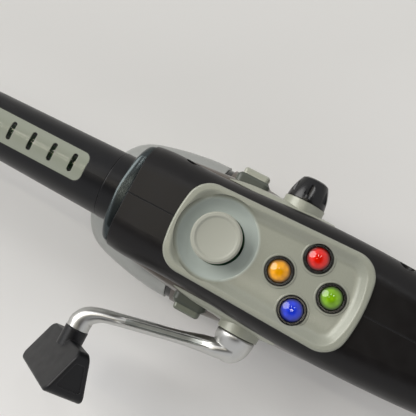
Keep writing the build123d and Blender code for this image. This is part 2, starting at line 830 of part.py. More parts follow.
# Thumbstick: base on the board, yoke that tilts sideways, stem, skirt and cap that tilt fore and aft
with BuildPart() as stick_base:
    with Locations((X_STICK, 0, Z_BOARD)):
        Box(2 * BASE_OUT, 2 * BASE_OUT, 4.2, align=(Align.CENTER, Align.CENTER, Align.MIN))
        Box(*YOKE_WINDOW, 4.2, align=(Align.CENTER, Align.CENTER, Align.MIN), mode=Mode.SUBTRACT)
    with BuildSketch(across(X_STICK - 10.0, Z_PIVOT)):
        Circle(PIN_R + RUN)
    extrude(amount=20.0, mode=Mode.SUBTRACT)
stick_base.part.label = "stick_base"
export_step(stick_base.part, "parts/stick_base.step")

with BuildPart() as stick_yoke:
    with Locations((X_STICK, 0, Z_PIVOT)):
        Box(2 * YOKE_OUT, 2 * YOKE_OUT, 2.6)
        Box(2 * YOKE_IN, 2 * YOKE_IN, 6.0, mode=Mode.SUBTRACT)
    for turn in (-1, 1):
        with BuildSketch(across(X_STICK + turn * (YOKE_OUT - 0.4), Z_PIVOT)):
            Circle(PIN_R)
        extrude(amount=turn * (BASE_OUT - YOKE_OUT + 0.2))
    with BuildSketch(sideways(-10.0, X_STICK, Z_PIVOT)):
        Circle(0.7 + RUN)
    extrude(amount=20.0, mode=Mode.SUBTRACT)
stick_yoke.part.label = "stick_yoke"
export_step(stick_yoke.part, "parts/stick_yoke.step")

Z_CAP = 15.4
Z_CAP_TOP = 18.8
with BuildPart() as stick_stem:
    with BuildSketch(level(Z_PIVOT - 1.2, X_STICK)):
        Circle(1.9)
    extrude(amount=Z_CAP - Z_PIVOT + 1.2)
    with BuildSketch(sideways(-YOKE_OUT, X_STICK, Z_PIVOT)):
        Circle(0.7)
    extrude(amount=2 * YOKE_OUT)
stick_stem.part.label = "stick_stem"
export_step(stick_stem.part, "parts/stick_stem.step")

SKIRT_ANGLE = 56.0
with BuildPart() as stick_skirt:
    sk = math.radians(SKIRT_ANGLE)
    half = math.radians(SKIRT_ANGLE / 2 + 6)
    inner = SKIRT_R - 1.0
    start = math.asin((1.9 + 0.02) / SKIRT_R)
    start_in = math.asin((1.9 + 0.02) / inner)
    with BuildSketch(Plane(origin=(X_STICK, 0, Z_PIVOT), x_dir=(1, 0, 0), z_dir=(0, -1, 0))):
        with BuildLine():
            ThreePointArc(
                (SKIRT_R * math.sin(start), SKIRT_R * math.cos(start)),
                (SKIRT_R * math.sin(half), SKIRT_R * math.cos(half)),
                (SKIRT_R * math.sin(sk), SKIRT_R * math.cos(sk)),
            )
            Line(
                (SKIRT_R * math.sin(sk), SKIRT_R * math.cos(sk)),
                (inner * math.sin(sk), inner * math.cos(sk)),
            )
            ThreePointArc(
                (inner * math.sin(sk), inner * math.cos(sk)),
                (inner * math.sin(half), inner * math.cos(half)),
                (inner * math.sin(start_in), inner * math.cos(start_in)),
            )
            Line(
                (inner * math.sin(start_in), inner * math.cos(start_in)),
                (SKIRT_R * math.sin(start), SKIRT_R * math.cos(start)),
            )
        make_face()
    revolve(axis=Axis((X_STICK, 0, 0), (0, 0, 1)))
stick_skirt.part.label = "stick_skirt"
export_step(stick_skirt.part, "parts/stick_skirt.step")

with BuildPart() as stick_cap:
    with BuildSketch(Plane(origin=(X_STICK, 0, 0), x_dir=(1, 0, 0), z_dir=(0, -1, 0))):
        with BuildLine():
            Polyline(
                (0.0, Z_CAP),
                (STICK_CAP_R - 3.6, Z_CAP),
                (STICK_CAP_R - 0.8, Z_CAP + 1.2),
                (STICK_CAP_R, Z_CAP + 2.0),
                (STICK_CAP_R, Z_CAP_TOP - 0.7),
                (STICK_CAP_R - 0.6, Z_CAP_TOP),
                (STICK_CAP_R - 1.5, Z_CAP_TOP),
                (STICK_CAP_R - 2.2, Z_CAP_TOP - 0.5),
            )
            ThreePointArc(
                (STICK_CAP_R - 2.2, Z_CAP_TOP - 0.5),
                (STICK_CAP_R * 0.4, Z_CAP_TOP - 0.95),
                (0.6, Z_CAP_TOP - 1.1),
            )
            Polyline((0.6, Z_CAP_TOP - 1.1), (0.0, Z_CAP_TOP - 1.1), (0.0, Z_CAP))
        make_face()
    revolve(axis=Axis((X_STICK, 0, 0), (0, 0, 1)))
stick_cap.part.label = "stick_cap"
export_step(stick_cap.part, "parts/stick_cap.step")

# Crank: axle, bushes, arm, paddle and the screw cap on the other side
ARM_Y0 = BOSS_Y + AIR
CAP_Y0 = -(BOSS_Y + AIR)
AXLE_Y0 = -36.0
AXLE_Y1 = 33.0

with BuildPart() as crank_axle:
    with BuildSketch(sideways(AXLE_Y0, X_AXLE, Z_AXLE)):
        Circle(AXLE_R)
    extrude(amount=AXLE_Y1 - AXLE_Y0)
crank_axle.part.label = "crank_axle"
export_step(crank_axle.part, "parts/crank_axle.step")


def bush(side):
    """Plain bearing pressed in one boss."""
    with BuildPart() as ring:
        with BuildSketch(sideways(side * 20.0, X_AXLE, Z_AXLE)):
            Circle(BUSH_R)
            Circle(AXLE_R + RUN, mode=Mode.SUBTRACT)
        extrude(amount=side * (BOSS_Y - 20.0))
    return ring.part


left_bush_form = bush(1)
with BuildPart() as left_bush:
    add(left_bush_form)
left_bush.part.label = "left_bush"
export_step(left_bush.part, "parts/left_bush.step")

right_bush_form = bush(-1)
with BuildPart() as right_bush:
    add(right_bush_form)
right_bush.part.label = "right_bush"
export_step(right_bush.part, "parts/right_bush.step")

# Arm: a domed elbow over the axle's end, then a cast bar through these stations: x from the
# axle, y, heading in degrees from +Y towards +X, width across the bar and height along Z
ELBOW_TOP = 40.0
ARM_END = 56.0
STEM_R = 4.55
ARM_STATIONS = [
    (-2.0, 34.2, 74.0, 8.4, 11.0),
    (4.5, 36.6, 74.0, 7.5, 11.8),
    (10.5, 37.7, 77.0, 6.6, 11.6),
    (20.0, 40.0, 77.0, 5.2, 11.2),
    (31.0, 42.5, 77.0, 5.2, 10.6),
    (44.0, 45.5, 77.0, 5.2, 9.9),
    (50.0, 47.1, 70.0, 5.7, 9.5),
    (54.3, 49.5, 45.0, 7.4, 9.2),
    (56.2, 52.6, 10.0, 2 * STEM_R, 2 * STEM_R),
    (56.4, ARM_END, 0.0, 2 * STEM_R, 2 * STEM_R),
]
CHANNEL_L = 35.0
CHANNEL_W = 2.3

with BuildPart() as arm_bar:
    for ax, ay, heading, wide, high in ARM_STATIONS:
        turn = math.radians(heading)
        station = Plane(
            origin=(X_AXLE + ax, ay, Z_AXLE),
            x_dir=(math.cos(turn), -math.sin(turn), 0),
            z_dir=(math.sin(turn), math.cos(turn), 0),
        )
        with BuildSketch(station):
            Ellipse(wide / 2, high / 2)
    loft()

with BuildPart() as crank_arm:
    with BuildSketch(Plane(origin=(X_AXLE, 0, Z_AXLE), x_dir=(1, 0, 0), z_dir=(0, 0, 1))):
        with BuildLine():
            Polyline(
                (0.6, ELBOW_TOP),
                (0.0, ELBOW_TOP),
                (0.0, ARM_Y0),
                (HUB_R - 0.3, ARM_Y0),
                (HUB_R, ARM_Y0 + 0.3),
                (HUB_R, ARM_Y0 + 1.0),
            )
            ThreePointArc(
                (HUB_R, ARM_Y0 + 1.0),
                (HUB_R * 0.71, ARM_Y0 + 1.0 + (ELBOW_TOP - ARM_Y0 - 1.0) * 0.71),
                (0.6, ELBOW_TOP),
            )
        make_face()
    revolve(axis=Axis((X_AXLE, 0, Z_AXLE), (0, 1, 0)))
    add(arm_bar.part)
    with BuildSketch(level(Z_AXLE + 1.6, X_AXLE)):
        with Locations(Location((31.0, 41.9, 0), (0, 0, 13.0))):
            RectangleRounded(CHANNEL_L, CHANNEL_W, CHANNEL_W * 0.45)
    extrude(amount=8.0, mode=Mode.SUBTRACT)
    with BuildSketch(sideways(ARM_Y0 - 1.0, X_AXLE, Z_AXLE)):
        Circle(AXLE_R)
    extrude(amount=AXLE_Y1 - ARM_Y0 + 1.0, mode=Mode.SUBTRACT)
    with BuildSketch(sideways(52.0, PADDLE_X, Z_AXLE)):
        Circle(PADDLE_PIN_R)
    extrude(amount=10.0, mode=Mode.SUBTRACT)
crank_arm.part.label = "crank_arm"
export_step(crank_arm.part, "parts/crank_arm.step")

# Pin that carries the paddle, with a head to keep it on
PADDLE_Y0 = ARM_END + AIR
NECK_STEM = 4.0         # bare stem between the arm and the wedge
WEDGE_H = 18.7          # height of the wedge along its pin
PADDLE_NECK = PADDLE_Y0 + NECK_STEM
PADDLE_Y1 = PADDLE_NECK + WEDGE_H
HEAD_R = 3.4
PIN_END = PADDLE_Y1 - 3.0
PIN_Y0 = ARM_END - 4.0    # the pin is pressed this far into the arm
with BuildPart() as paddle_pin:
    with BuildSketch(sideways(PIN_Y0, PADDLE_X, Z_AXLE)):
        Circle(PADDLE_PIN_R)
    extrude(amount=PIN_END - PIN_Y0)
    with BuildSketch(sideways(PIN_END, PADDLE_X, Z_AXLE)):
        Circle(HEAD_R)
    extrude(amount=1.6)
paddle_pin.part.label = "paddle_pin"
export_step(paddle_pin.part, "parts/paddle_pin.step")

# Paddle: a wedge of triangular section with rounded edges, on a stem, turned on its pin
PADDLE_LONG = 20.5      # half length
PADDLE_THIN = 2.3       # half thickness next to the stem
PADDLE_THICK = 8.7      # half thickness at the outer face
PADDLE_CORNER = 3.4     # rounding of the broad faces' corners
PADDLE_EDGE = 1.1       # rounding of every other edge
PANEL_INSET = 0.5       # depth of the sunk panel in each triangular end
PANEL_EDGE = 2.0        # width of the frame left round that panel


def paddle_half(reach):
    """Half thickness of the wedge at a distance from the grip's middle plane."""
    return PADDLE_THIN + (PADDLE_THICK - PADDLE_THIN) * (reach - PADDLE_NECK) / (PADDLE_Y1 - PADDLE_NECK)


with BuildPart() as paddle_wedge:
    with BuildSketch(Plane(origin=(0, 0, 0), x_dir=(0, 0, 1), z_dir=(1, 0, 0))):
        with BuildLine():
            Polyline(
                (-PADDLE_THIN, -PADDLE_NECK),
                (-PADDLE_THICK, -PADDLE_Y1),
                (PADDLE_THICK, -PADDLE_Y1),
                (PADDLE_THIN, -PADDLE_NECK),
                close=True,
            )
        make_face()
    extrude(amount=PADDLE_LONG, both=True)
    crosswise = [
        edge
        for edge in paddle_wedge.edges().filter_by(Axis.Z)
        if abs(abs(edge.center().X) - PADDLE_LONG) < 0.01
    ]
    fillet(crosswise, PADDLE_CORNER)
    fillet(paddle_wedge.edges().filter_by(Axis.X), PADDLE_EDGE)
    low = PADDLE_NECK + PADDLE_CORNER + 1.0
    high = PADDLE_Y1 - PADDLE_CORNER - 0.6
    for end in (-1, 1):
        with BuildSketch(
            Plane(origin=(end * (PADDLE_LONG - PANEL_INSET), 0, 0), x_dir=(0, 0, 1), z_dir=(1, 0, 0))
        ) as panel:
            with BuildLine():
                Polyline(
                    (-paddle_half(low) + PANEL_EDGE, -low),
                    (-paddle_half(high) + PANEL_EDGE, -high),
                    (paddle_half(high) - PANEL_EDGE, -high),
                    (paddle_half(low) - PANEL_EDGE, -low),
                    close=True,
                )
            make_face()
            fillet(panel.vertices(), 0.8)
        extrude(amount=end * 2.0, mode=Mode.SUBTRACT)

PADDLE_TURN = Pos(PADDLE_X, 0, Z_AXLE) * Rot(0, PADDLE_TILT, 0)
with BuildPart() as paddle:
    add(PADDLE_TURN * paddle_wedge.part)
    with BuildSketch(sideways(PADDLE_Y0, PADDLE_X, Z_AXLE)):
        Circle(STEM_R + 0.25)
    extrude(amount=NECK_STEM + 4.0)
    with BuildSketch(sideways(PADDLE_Y0 - 1.0, PADDLE_X, Z_AXLE)):
        Circle(PADDLE_PIN_R + RUN)
    extrude(amount=NECK_STEM + WEDGE_H + 7.3, mode=Mode.SUBTRACT)
    with BuildSketch(sideways(PIN_END - AIR, PADDLE_X, Z_AXLE)):
        Circle(HEAD_R + AIR)
    extrude(amount=10.0, mode=Mode.SUBTRACT)
paddle.part.label = "paddle"
export_step(paddle.part, "parts/paddle.step")

# Screw cap that clamps the axle from the right: a blunt cone with finger flutes
FLUTES = 6
CAP_R = 7.85
CAP_L = 9.6
CAP_TOP_R = 5.3
FLUTE_R = 2.1
with BuildPart() as screw_cap:
    with BuildSketch(Plane(origin=(X_AXLE, 0, Z_AXLE), x_dir=(1, 0, 0), z_dir=(0, 0, 1))):
        with BuildLine():
            Polyline((0.0, CAP_Y0 - CAP_L), (0.0, CAP_Y0), (CAP_R, CAP_Y0), (CAP_R, CAP_Y0 - 0.8))
            ThreePointArc(
                (CAP_R, CAP_Y0 - 0.8),
                (CAP_R - 0.85, CAP_Y0 - CAP_L * 0.5),
                (CAP_TOP_R, CAP_Y0 - CAP_L + 0.7),
            )
            Polyline(
                (CAP_TOP_R, CAP_Y0 - CAP_L + 0.7),
                (CAP_TOP_R - 1.0, CAP_Y0 - CAP_L + 0.15),
                (CAP_TOP_R - 2.4, CAP_Y0 - CAP_L),
                (0.0, CAP_Y0 - CAP_L),
            )
        make_face()
    revolve(axis=Axis((X_AXLE, 0, Z_AXLE), (0, 1, 0)))
    with BuildSketch(sideways(CAP_Y0 - 2.2, X_AXLE, Z_AXLE)):
        with PolarLocations(CAP_R + 0.5, FLUTES, start_angle=30.0):
            Circle(FLUTE_R)
    extrude(amount=-CAP_L, mode=Mode.SUBTRACT)
    with BuildSketch(sideways(AXLE_Y0, X_AXLE, Z_AXLE)):
        Circle(AXLE_R)
    extrude(amount=20.0, mode=Mode.SUBTRACT)
screw_cap.part.label = "screw_cap"
export_step(screw_cap.part, "parts/screw_cap.step")

# Gear pair from the axle to the turn sensor
MODULE = 0.5
DRIVE_TEETH = 22
SENSOR_TEETH = 14
PRESSURE = math.radians(20.0)
GEAR_Y0 = 8.0
GEAR_W = 3.0
BACKLASH = 0.05


def gear_points(teeth, phase):
    """Points of an involute gear outline, its first tooth turned by phase."""
    pitch = MODULE * teeth / 2
    base = pitch * math.cos(PRESSURE)
    tip = pitch + 0.9 * MODULE
    root = pitch - 1.15 * MODULE
    half_tooth = math.pi / (2 * teeth) - BACKLASH / (2 * pitch)
    roll = math.tan(PRESSURE) - PRESSURE
    points = []
    for tooth in range(teeth):
        middle = phase + 2 * math.pi * tooth / teeth
        flank = []
        for radius in (max(base, root + 0.02), (base + tip) / 2, tip):
            angle = math.acos(min(1.0, base / radius))
            flank.append((radius, half_tooth + roll - (math.tan(angle) - angle)))
        gap = half_tooth + roll
        for radius, spread in [(root, gap)] + flank:
            points.append((radius * math.cos(middle - spread), radius * math.sin(middle - spread)))
        for radius, spread in flank[::-1] + [(root, gap)]:
            points.append((radius * math.cos(middle + spread), radius * math.sin(middle + spread)))
    return points


X_SENSOR = X_AXLE - MODULE * (DRIVE_TEETH + SENSOR_TEETH) / 2
SENSOR_PIN_R = 1.0

with BuildPart() as drive_gear:
    with BuildSketch(sideways(GEAR_Y0, X_AXLE, Z_AXLE)):
        with BuildLine():
            Polyline(*gear_points(DRIVE_TEETH, math.pi), close=True)
        make_face()
        Circle(AXLE_R, mode=Mode.SUBTRACT)
    extrude(amount=GEAR_W)
drive_gear.part.label = "drive_gear"
export_step(drive_gear.part, "parts/drive_gear.step")

with BuildPart() as sensor_gear:
    with BuildSketch(sideways(GEAR_Y0, X_SENSOR, Z_AXLE)):
        with BuildLine():
            Polyline(*gear_points(SENSOR_TEETH, math.pi / SENSOR_TEETH), close=True)
        make_face()
    extrude(amount=GEAR_W)
    with BuildSketch(sideways(GEAR_Y0 - 5.0, X_SENSOR, Z_AXLE)):
        Circle(SENSOR_PIN_R)
    extrude(amount=5.0)
sensor_gear.part.label = "sensor_gear"
export_step(sensor_gear.part, "parts/sensor_gear.step")

with BuildPart() as turn_sensor:
    with Locations((X_SENSOR, GEAR_Y0 - 0.5, Z_FLOOR + WALL)):
        Box(9.0, 7.0, 12.0, align=(Align.CENTER, Align.MAX, Align.MIN))
    with BuildSketch(sideways(GEAR_Y0 - 0.4, X_SENSOR, Z_AXLE)):
        Circle(SENSOR_PIN_R + RUN)
    extrude(amount=-5.0, mode=Mode.SUBTRACT)
turn_sensor.part.label = "turn_sensor"
export_step(turn_sensor.part, "parts/turn_sensor.step")

# Reel: station from the axle and half width; its height is a fixed share of its width
REEL_FLAT = 0.66
REEL_FRONT = [
    (36.4, 31.0), (44.0, 30.7), (54.5, 29.3), (64.0, 27.3), (71.0, 25.2), (76.0, 22.4),
    (79.0, 19.3), (81.0, 16.0), (82.6, 11.5), (83.4, 6.0),
]
REEL_REAR = [
    (33.6, 31.0), (20.0, 30.4), (5.0, 28.4), (-10.0, 25.2), (-22.0, 20.5), (-29.0, 15.0),
    (-32.5, 9.0), (-33.6, 4.5),
]
REEL_WALL = 2.4


def reel_form(stations, shrink, trim):
    """Smooth elliptical body through the given stations, its open end moved by trim."""
    with BuildPart() as form:
        for index, (rx, rw) in enumerate(stations):
            shift = trim if index == 0 else (math.copysign(shrink, stations[0][0] - rx) * 1.0)
            with BuildSketch(across(X_AXLE + rx + shift, Z_REEL)):
                Ellipse(rw - shrink if rw > 6.5 else rw - 0.45 * shrink, rw * REEL_FLAT - shrink * (1 if rw > 10 else 0.5))
        loft()
    return form.part


def reel_end_block(x):
    """Block over everything above the body's floor."""
    return Pos(x, 0, Z_FLOOR) * Box(200.0, 100.0, 60.0, align=(Align.CENTER, Align.CENTER, Align.MIN))


def above_stand(height):
    """Block over everything above the flat under the reel, raised by height."""
    return Pos(X_AXLE, 0, Z_STAND + height) * Box(
        300.0, 100.0, 60.0, align=(Align.CENTER, Align.CENTER, Align.MIN)
    )


front_outer = reel_form(REEL_FRONT, 0.0, 0.0) & above_stand(0.0)
front_inner = reel_form(REEL_FRONT[:-1], REEL_WALL, -1.0) & above_stand(REEL_WALL)
with BuildPart() as reel_front:
    add(front_outer)
    add(front_inner, mode=Mode.SUBTRACT)
reel_front.part.label = "reel_front"
export_step(reel_front.part, "parts/reel_front.step")

BAND_STEP = 0.8         # the band lies this far inside the reel's surface
BAND_HALF = REEL_REAR[0][1] - BAND_STEP
band_hole = Pos(X_AXLE + REEL_REAR[0][0], 0, Z_REEL) * extrude(
    Plane.YZ * Ellipse(BAND_HALF - REEL_WALL, (BAND_HALF - REEL_WALL) * REEL_FLAT),
    amount=REEL_FRONT[0][0] - REEL_REAR[0][0],
) & above_stand(BAND_STEP + REEL_WALL)
band_floor = above_stand(BAND_STEP)
with BuildPart() as reel_band:
    with BuildSketch(across(X_AXLE + REEL_REAR[0][0], Z_REEL)):
        Ellipse(BAND_HALF, BAND_HALF * REEL_FLAT)
    extrude(amount=REEL_FRONT[0][0] - REEL_REAR[0][0])
    add(band_floor, mode=Mode.INTERSECT)
    add(band_hole, mode=Mode.SUBTRACT)
reel_band.part.label = "reel_band"
export_step(reel_band.part, "parts/reel_band.step")

rear_outer = reel_form(REEL_REAR, 0.0, 0.0) & above_stand(0.0)
rear_inner = reel_form(REEL_REAR[:-1], REEL_WALL, 1.0) & above_stand(REEL_WALL)
reel_above = reel_end_block(X_AXLE)
MOTOR_R = 6.0
MOTOR_X0 = X_AXLE - 6.0
MOTOR_L = 18.0
Z_MOTOR = Z_REEL - 4.0

FOOT_X = X_AXLE + 2.0
FOOT_L = 56.0
FOOT_HALF = 12.2

with BuildPart() as reel_cradle:
    with Locations((MOTOR_X0 + MOTOR_L / 2, 0, Z_MOTOR)):
        Box(12.0, 15.0, 22.0, align=(Align.CENTER, Align.CENTER, Align.MAX))
    add(rear_outer, mode=Mode.INTERSECT)

with BuildPart() as reel_rear:
    add(rear_outer)
    with BuildSketch(level(Z_FLOOR, FOOT_X)):
        RectangleRounded(FOOT_L, 2 * FOOT_HALF, 7.0)
    extrude(amount=-16.0)
    add(rear_inner, mode=Mode.SUBTRACT)
    for px in REEL_SCREWS:
        for side in (-1, 1):
            with BuildSketch(level(Z_FLOOR - 1.0, px)):
                with Locations((0, side * SCREW_Y)):
                    Circle(2.8)
            extrude(amount=-11.0)
            with BuildSketch(level(Z_FLOOR + 1.0, px)):
                with Locations((0, side * SCREW_Y)):
                    Circle(1.0)
            extrude(amount=-11.0, mode=Mode.SUBTRACT)
    add(reel_cradle.part)
    with BuildSketch(across(MOTOR_X0 - 1.0, Z_MOTOR)):
        Circle(MOTOR_R + 0.02)
    extrude(amount=MOTOR_L + 2.0, mode=Mode.SUBTRACT)
    add(reel_above, mode=Mode.SUBTRACT)
reel_rear.part.label = "reel_rear"
export_step(reel_rear.part, "parts/reel_rear.step")

# Rumble motor with its off-centre weight
SHAFT_R = 1.0
with BuildPart() as rumble_motor:
    with BuildSketch(across(MOTOR_X0, Z_MOTOR)):
        Circle(MOTOR_R)
    extrude(amount=MOTOR_L)
    with BuildSketch(across(MOTOR_X0 + MOTOR_L, Z_MOTOR)):
        Circle(2.4)
    extrude(amount=1.0)
    with BuildSketch(across(MOTOR_X0 + MOTOR_L - 6.0, Z_MOTOR)):
        Circle(SHAFT_R + RUN)
    extrude(amount=8.0, mode=Mode.SUBTRACT)
rumble_motor.part.label = "rumble_motor"
export_step(rumble_motor.part, "parts/rumble_motor.step")

WEIGHT_X0 = MOTOR_X0 + MOTOR_L + 1.6
with BuildPart() as rumble_weight:
    with BuildSketch(across(MOTOR_X0 + MOTOR_L - 5.8, Z_MOTOR)):
        Circle(SHAFT_R)
    extrude(amount=WEIGHT_X0 + 5.0 - (MOTOR_X0 + MOTOR_L - 5.8))
    with BuildSketch(across(WEIGHT_X0, Z_MOTOR)):
        Circle(2.2)
        with BuildSketch(mode=Mode.ADD):
            Circle(5.6)
            with Locations((0, 6.2)):
                Rectangle(14.0, 12.4, mode=Mode.SUBTRACT)
    extrude(amount=5.0)
rumble_weight.part.label = "rumble_weight"
export_step(rumble_weight.part, "parts/rumble_weight.step")

# Battery tray, two cells in line, contacts and door in the grip
CELL_X0 = BAY_X0 + 4.0
CHANNEL_R = CELL_R + 0.12

with BuildPart() as battery_tray:
    with Locations(((BAY_X0 + BAY_X1) / 2, 0, TRAY_BOTTOM)):
        Box(BAY_X1 - BAY_X0, 2 * TRAY_HALF, TRAY_TOP - TRAY_BOTTOM, align=(Align.CENTER, Align.CENTER, Align.MIN))
    with BuildSketch(across(BAY_X0 + 1.6, Z_CELL)):
        Circle(CHANNEL_R)
        with Locations((0, -10.0)):
            Rectangle(2 * CHANNEL_R, 20.0)
    extrude(amount=BAY_X1 - BAY_X0 - 3.2, mode=Mode.SUBTRACT)
    for ex in TRAY_EARS:
        for side in (-1, 1):
            with Locations((ex, side * TRAY_HALF, Z_EAR)):
                Box(7.0, 5.6, 2.0, align=(Align.CENTER, Align.CENTER, Align.MIN))
battery_tray.part.label = "battery_tray"
export_step(battery_tray.part, "parts/battery_tray.step")


def cell(x):
    """One round cell with its raised end towards the tip."""
    with BuildPart() as body:
        with BuildSketch(across(x, Z_CELL)):
            Circle(CELL_R)
        extrude(amount=CELL_L - 1.2)
        with BuildSketch(across(x + CELL_L - 1.2, Z_CELL)):
            Circle(2.6)
        extrude(amount=1.2)
    return body.part


front_cell_form = cell(CELL_X0 + CELL_L)
with BuildPart() as front_cell:
    add(front_cell_form)
front_cell.part.label = "front_cell"
export_step(front_cell.part, "parts/front_cell.step")

rear_cell_form = cell(CELL_X0)
with BuildPart() as rear_cell:
    add(rear_cell_form)
rear_cell.part.label = "rear_cell"
export_step(rear_cell.part, "parts/rear_cell.step")

with BuildPart() as front_contact:
    with Locations((CELL_X0 + 2 * CELL_L, 0, Z_CELL)):
        Box(BAY_X1 - 1.6 - (CELL_X0 + 2 * CELL_L), 9.0, 9.0, align=(Align.MIN, Align.CENTER, Align.CENTER))
front_contact.part.label = "front_contact"
export_step(front_contact.part, "parts/front_contact.step")

# Leaf spring: a folded strip between the tray's end and the rear cell
LEAF_T = 0.4
with BuildPart() as leaf_contact:
    with BuildSketch(Plane(origin=(0, -4.0, 0), x_dir=(1, 0, 0), z_dir=(0, 1, 0))):
        with BuildLine():
            Polyline(
                (BAY_X0 + 1.6, -Z_CELL - 4.5),
                (BAY_X0 + 1.6, -Z_CELL + 4.5),
                (BAY_X0 + 1.6 + LEAF_T, -Z_CELL + 4.5),
                (BAY_X0 + 1.6 + LEAF_T, -Z_CELL - 3.9),
                (CELL_X0 - LEAF_T, -Z_CELL - 1.0),
                (CELL_X0 - LEAF_T, -Z_CELL + 2.0),
                (CELL_X0, -Z_CELL + 2.0),
                (CELL_X0, -Z_CELL - 1.3),
                (BAY_X0 + 1.6 + LEAF_T, -Z_CELL - 4.5),
                close=True,
            )
        make_face()
    extrude(amount=8.0)
leaf_contact.part.label = "leaf_contact"
export_step(leaf_contact.part, "parts/leaf_contact.step")

# Battery door, cut from the same form as the grip, with ribs that hold the cells up
with BuildPart() as door_ribs:
    for rib_x in [CELL_X0 + share * CELL_L for share in (0.24, 0.76, 1.24, 1.76)]:
        with Locations((rib_x, 0, Z_CELL - CELL_R - 0.1)):
            Box(2.0, 9.0, 20.0, align=(Align.CENTER, Align.CENTER, Align.MAX))
    add(grip_form.part, mode=Mode.INTERSECT)

with BuildPart() as battery_door:
    add(grip_form.part)
    add(grip_core.part, mode=Mode.SUBTRACT)
    add(door_ribs.part)
    add(door_opening.part, mode=Mode.INTERSECT)
battery_door.part.label = "battery_door"
export_step(battery_door.part, "parts/battery_door.step")
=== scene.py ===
import logging
import math
from dataclasses import dataclass, field, replace
from enum import Enum
from typing import ClassVar

import bpy
import numpy as np
from mathutils import Matrix, Vector


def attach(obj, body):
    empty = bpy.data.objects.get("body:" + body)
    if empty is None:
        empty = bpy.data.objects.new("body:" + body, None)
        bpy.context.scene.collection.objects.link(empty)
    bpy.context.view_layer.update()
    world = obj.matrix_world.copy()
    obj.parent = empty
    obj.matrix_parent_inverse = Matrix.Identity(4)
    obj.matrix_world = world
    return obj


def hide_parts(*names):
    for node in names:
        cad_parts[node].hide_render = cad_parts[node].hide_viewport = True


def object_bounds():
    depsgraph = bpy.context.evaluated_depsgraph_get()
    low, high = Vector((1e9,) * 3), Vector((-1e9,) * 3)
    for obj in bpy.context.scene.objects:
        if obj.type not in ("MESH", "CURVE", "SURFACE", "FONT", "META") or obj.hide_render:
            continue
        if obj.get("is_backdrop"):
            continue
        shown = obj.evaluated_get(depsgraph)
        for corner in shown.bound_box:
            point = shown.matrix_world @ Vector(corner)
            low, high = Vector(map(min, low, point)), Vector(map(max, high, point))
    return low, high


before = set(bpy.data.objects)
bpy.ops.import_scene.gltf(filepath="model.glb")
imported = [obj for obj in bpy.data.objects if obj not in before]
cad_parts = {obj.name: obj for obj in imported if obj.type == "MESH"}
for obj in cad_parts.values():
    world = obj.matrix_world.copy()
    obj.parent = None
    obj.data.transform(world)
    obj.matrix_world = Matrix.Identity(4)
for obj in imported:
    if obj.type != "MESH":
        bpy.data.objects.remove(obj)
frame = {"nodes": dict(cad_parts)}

LOG = logging.getLogger("fishing_rod_controller")

MM = 0.001

# Places in mm: the crank's axle, the middle of the four buttons and how far each button is
# from it, and the thumbstick's axis.
X_AXLE = 175.0
Z_AXLE = -11.0
X_PAD = X_AXLE - 14.5
PAD_PITCH = 10.25
X_STICK = X_AXLE + 20.6

# Side of the photograph in pixels, and the middle of the body, which the lamps look at.
PHOTO_SIZE = 416
MIDDLE_M = (0.18, 0.0, 0.0)

Pair = tuple[float, float]
Triple = tuple[float, float, float]
Colour = tuple[float, float, float, float]
Node = bpy.types.Node
Socket = bpy.types.NodeSocket
Tree = bpy.types.NodeTree
Material = bpy.types.Material


class Grain(Enum):
    """How a surface was made, which decides its fine relief."""

    MOULDED = "moulded in a spark-eroded tool"
    PAINTED = "sprayed with metallic paint"
    POLISHED = "polished"
    TURNED = "turned on a lathe"
    RUBBER = "moulded rubber"
    CLEAR = "clear moulding"
    LENS = "coloured core under a clear dome"


@dataclass(frozen=True)
class Finish:
    """One real material and the process that made its surface.

    Args:
        name: Material and process in plain words.
        colour: sRGB colour as a hex string.
        grain: Kind of fine relief.
        roughness: Mean roughness of the surface.
        metallic: 1 for bare metal, a share for metallic paint, 0 for the rest.
        ior: Index of refraction of the plastics, rubbers and lacquers.
        coat: Weight of a clear coat.
        grain_mm: Size of one grain of the relief.
        relief_mm: Height of the relief.
        mottle: Share by which the colour varies from place to place.
        edge_mm: Radius by which sharp edges catch the light.
        wear_and_edge_light: Share by which the edges are paled: partly wear from handling, partly a painted
            highlight along them.
        seam: True where the parting line of two halves shows on the plane y = 0.
        centre_mm: Middle of a button in X and Y, for a lens.
        bowl_light_mm: Place in X and radius of the bowl that is painted paler and cooler, as painted light
            and reflection, if there is one.
    """

    name: str
    colour: str
    grain: Grain
    roughness: float
    metallic: float = 0.0
    ior: float = 1.5
    coat: float = 0.0
    grain_mm: float = 0.4
    relief_mm: float = 0.004
    mottle: float = 0.05
    edge_mm: float = 0.25
    wear_and_edge_light: float = 0.0
    seam: bool = False
    centre_mm: Pair = (0.0, 0.0)
    bowl_light_mm: Pair | None = None


def linear(hex_colour: str) -> Colour:
    """Turns an sRGB hex colour into linear light.

    A value up to 0.04045 is divided by 12.92; above that, 0.055 is added, the sum is divided
    by 1.055 and raised to the power 2.4.

    Args:
        hex_colour: Six hex digits after a hash sign.

    Returns:
        Red, green, blue and an alpha of 1.
    """
    digits = hex_colour.lstrip("#")
    channels = [int(digits[i:i + 2], 16) / 255.0 for i in (0, 2, 4)]
    values = [c / 12.92 if c <= 0.04045 else ((c + 0.055) / 1.055) ** 2.4 for c in channels]
    return (values[0], values[1], values[2], 1.0)


def shade(colour: Colour, factor: float) -> Colour:
    """Scales a linear colour.

    Args:
        colour: Linear colour.
        factor: Multiplier of its light.

    Returns:
        The scaled colour, clipped at 1.
    """
    red, green, blue = (min(1.0, channel * factor) for channel in colour[:3])
    return (red, green, blue, 1.0)


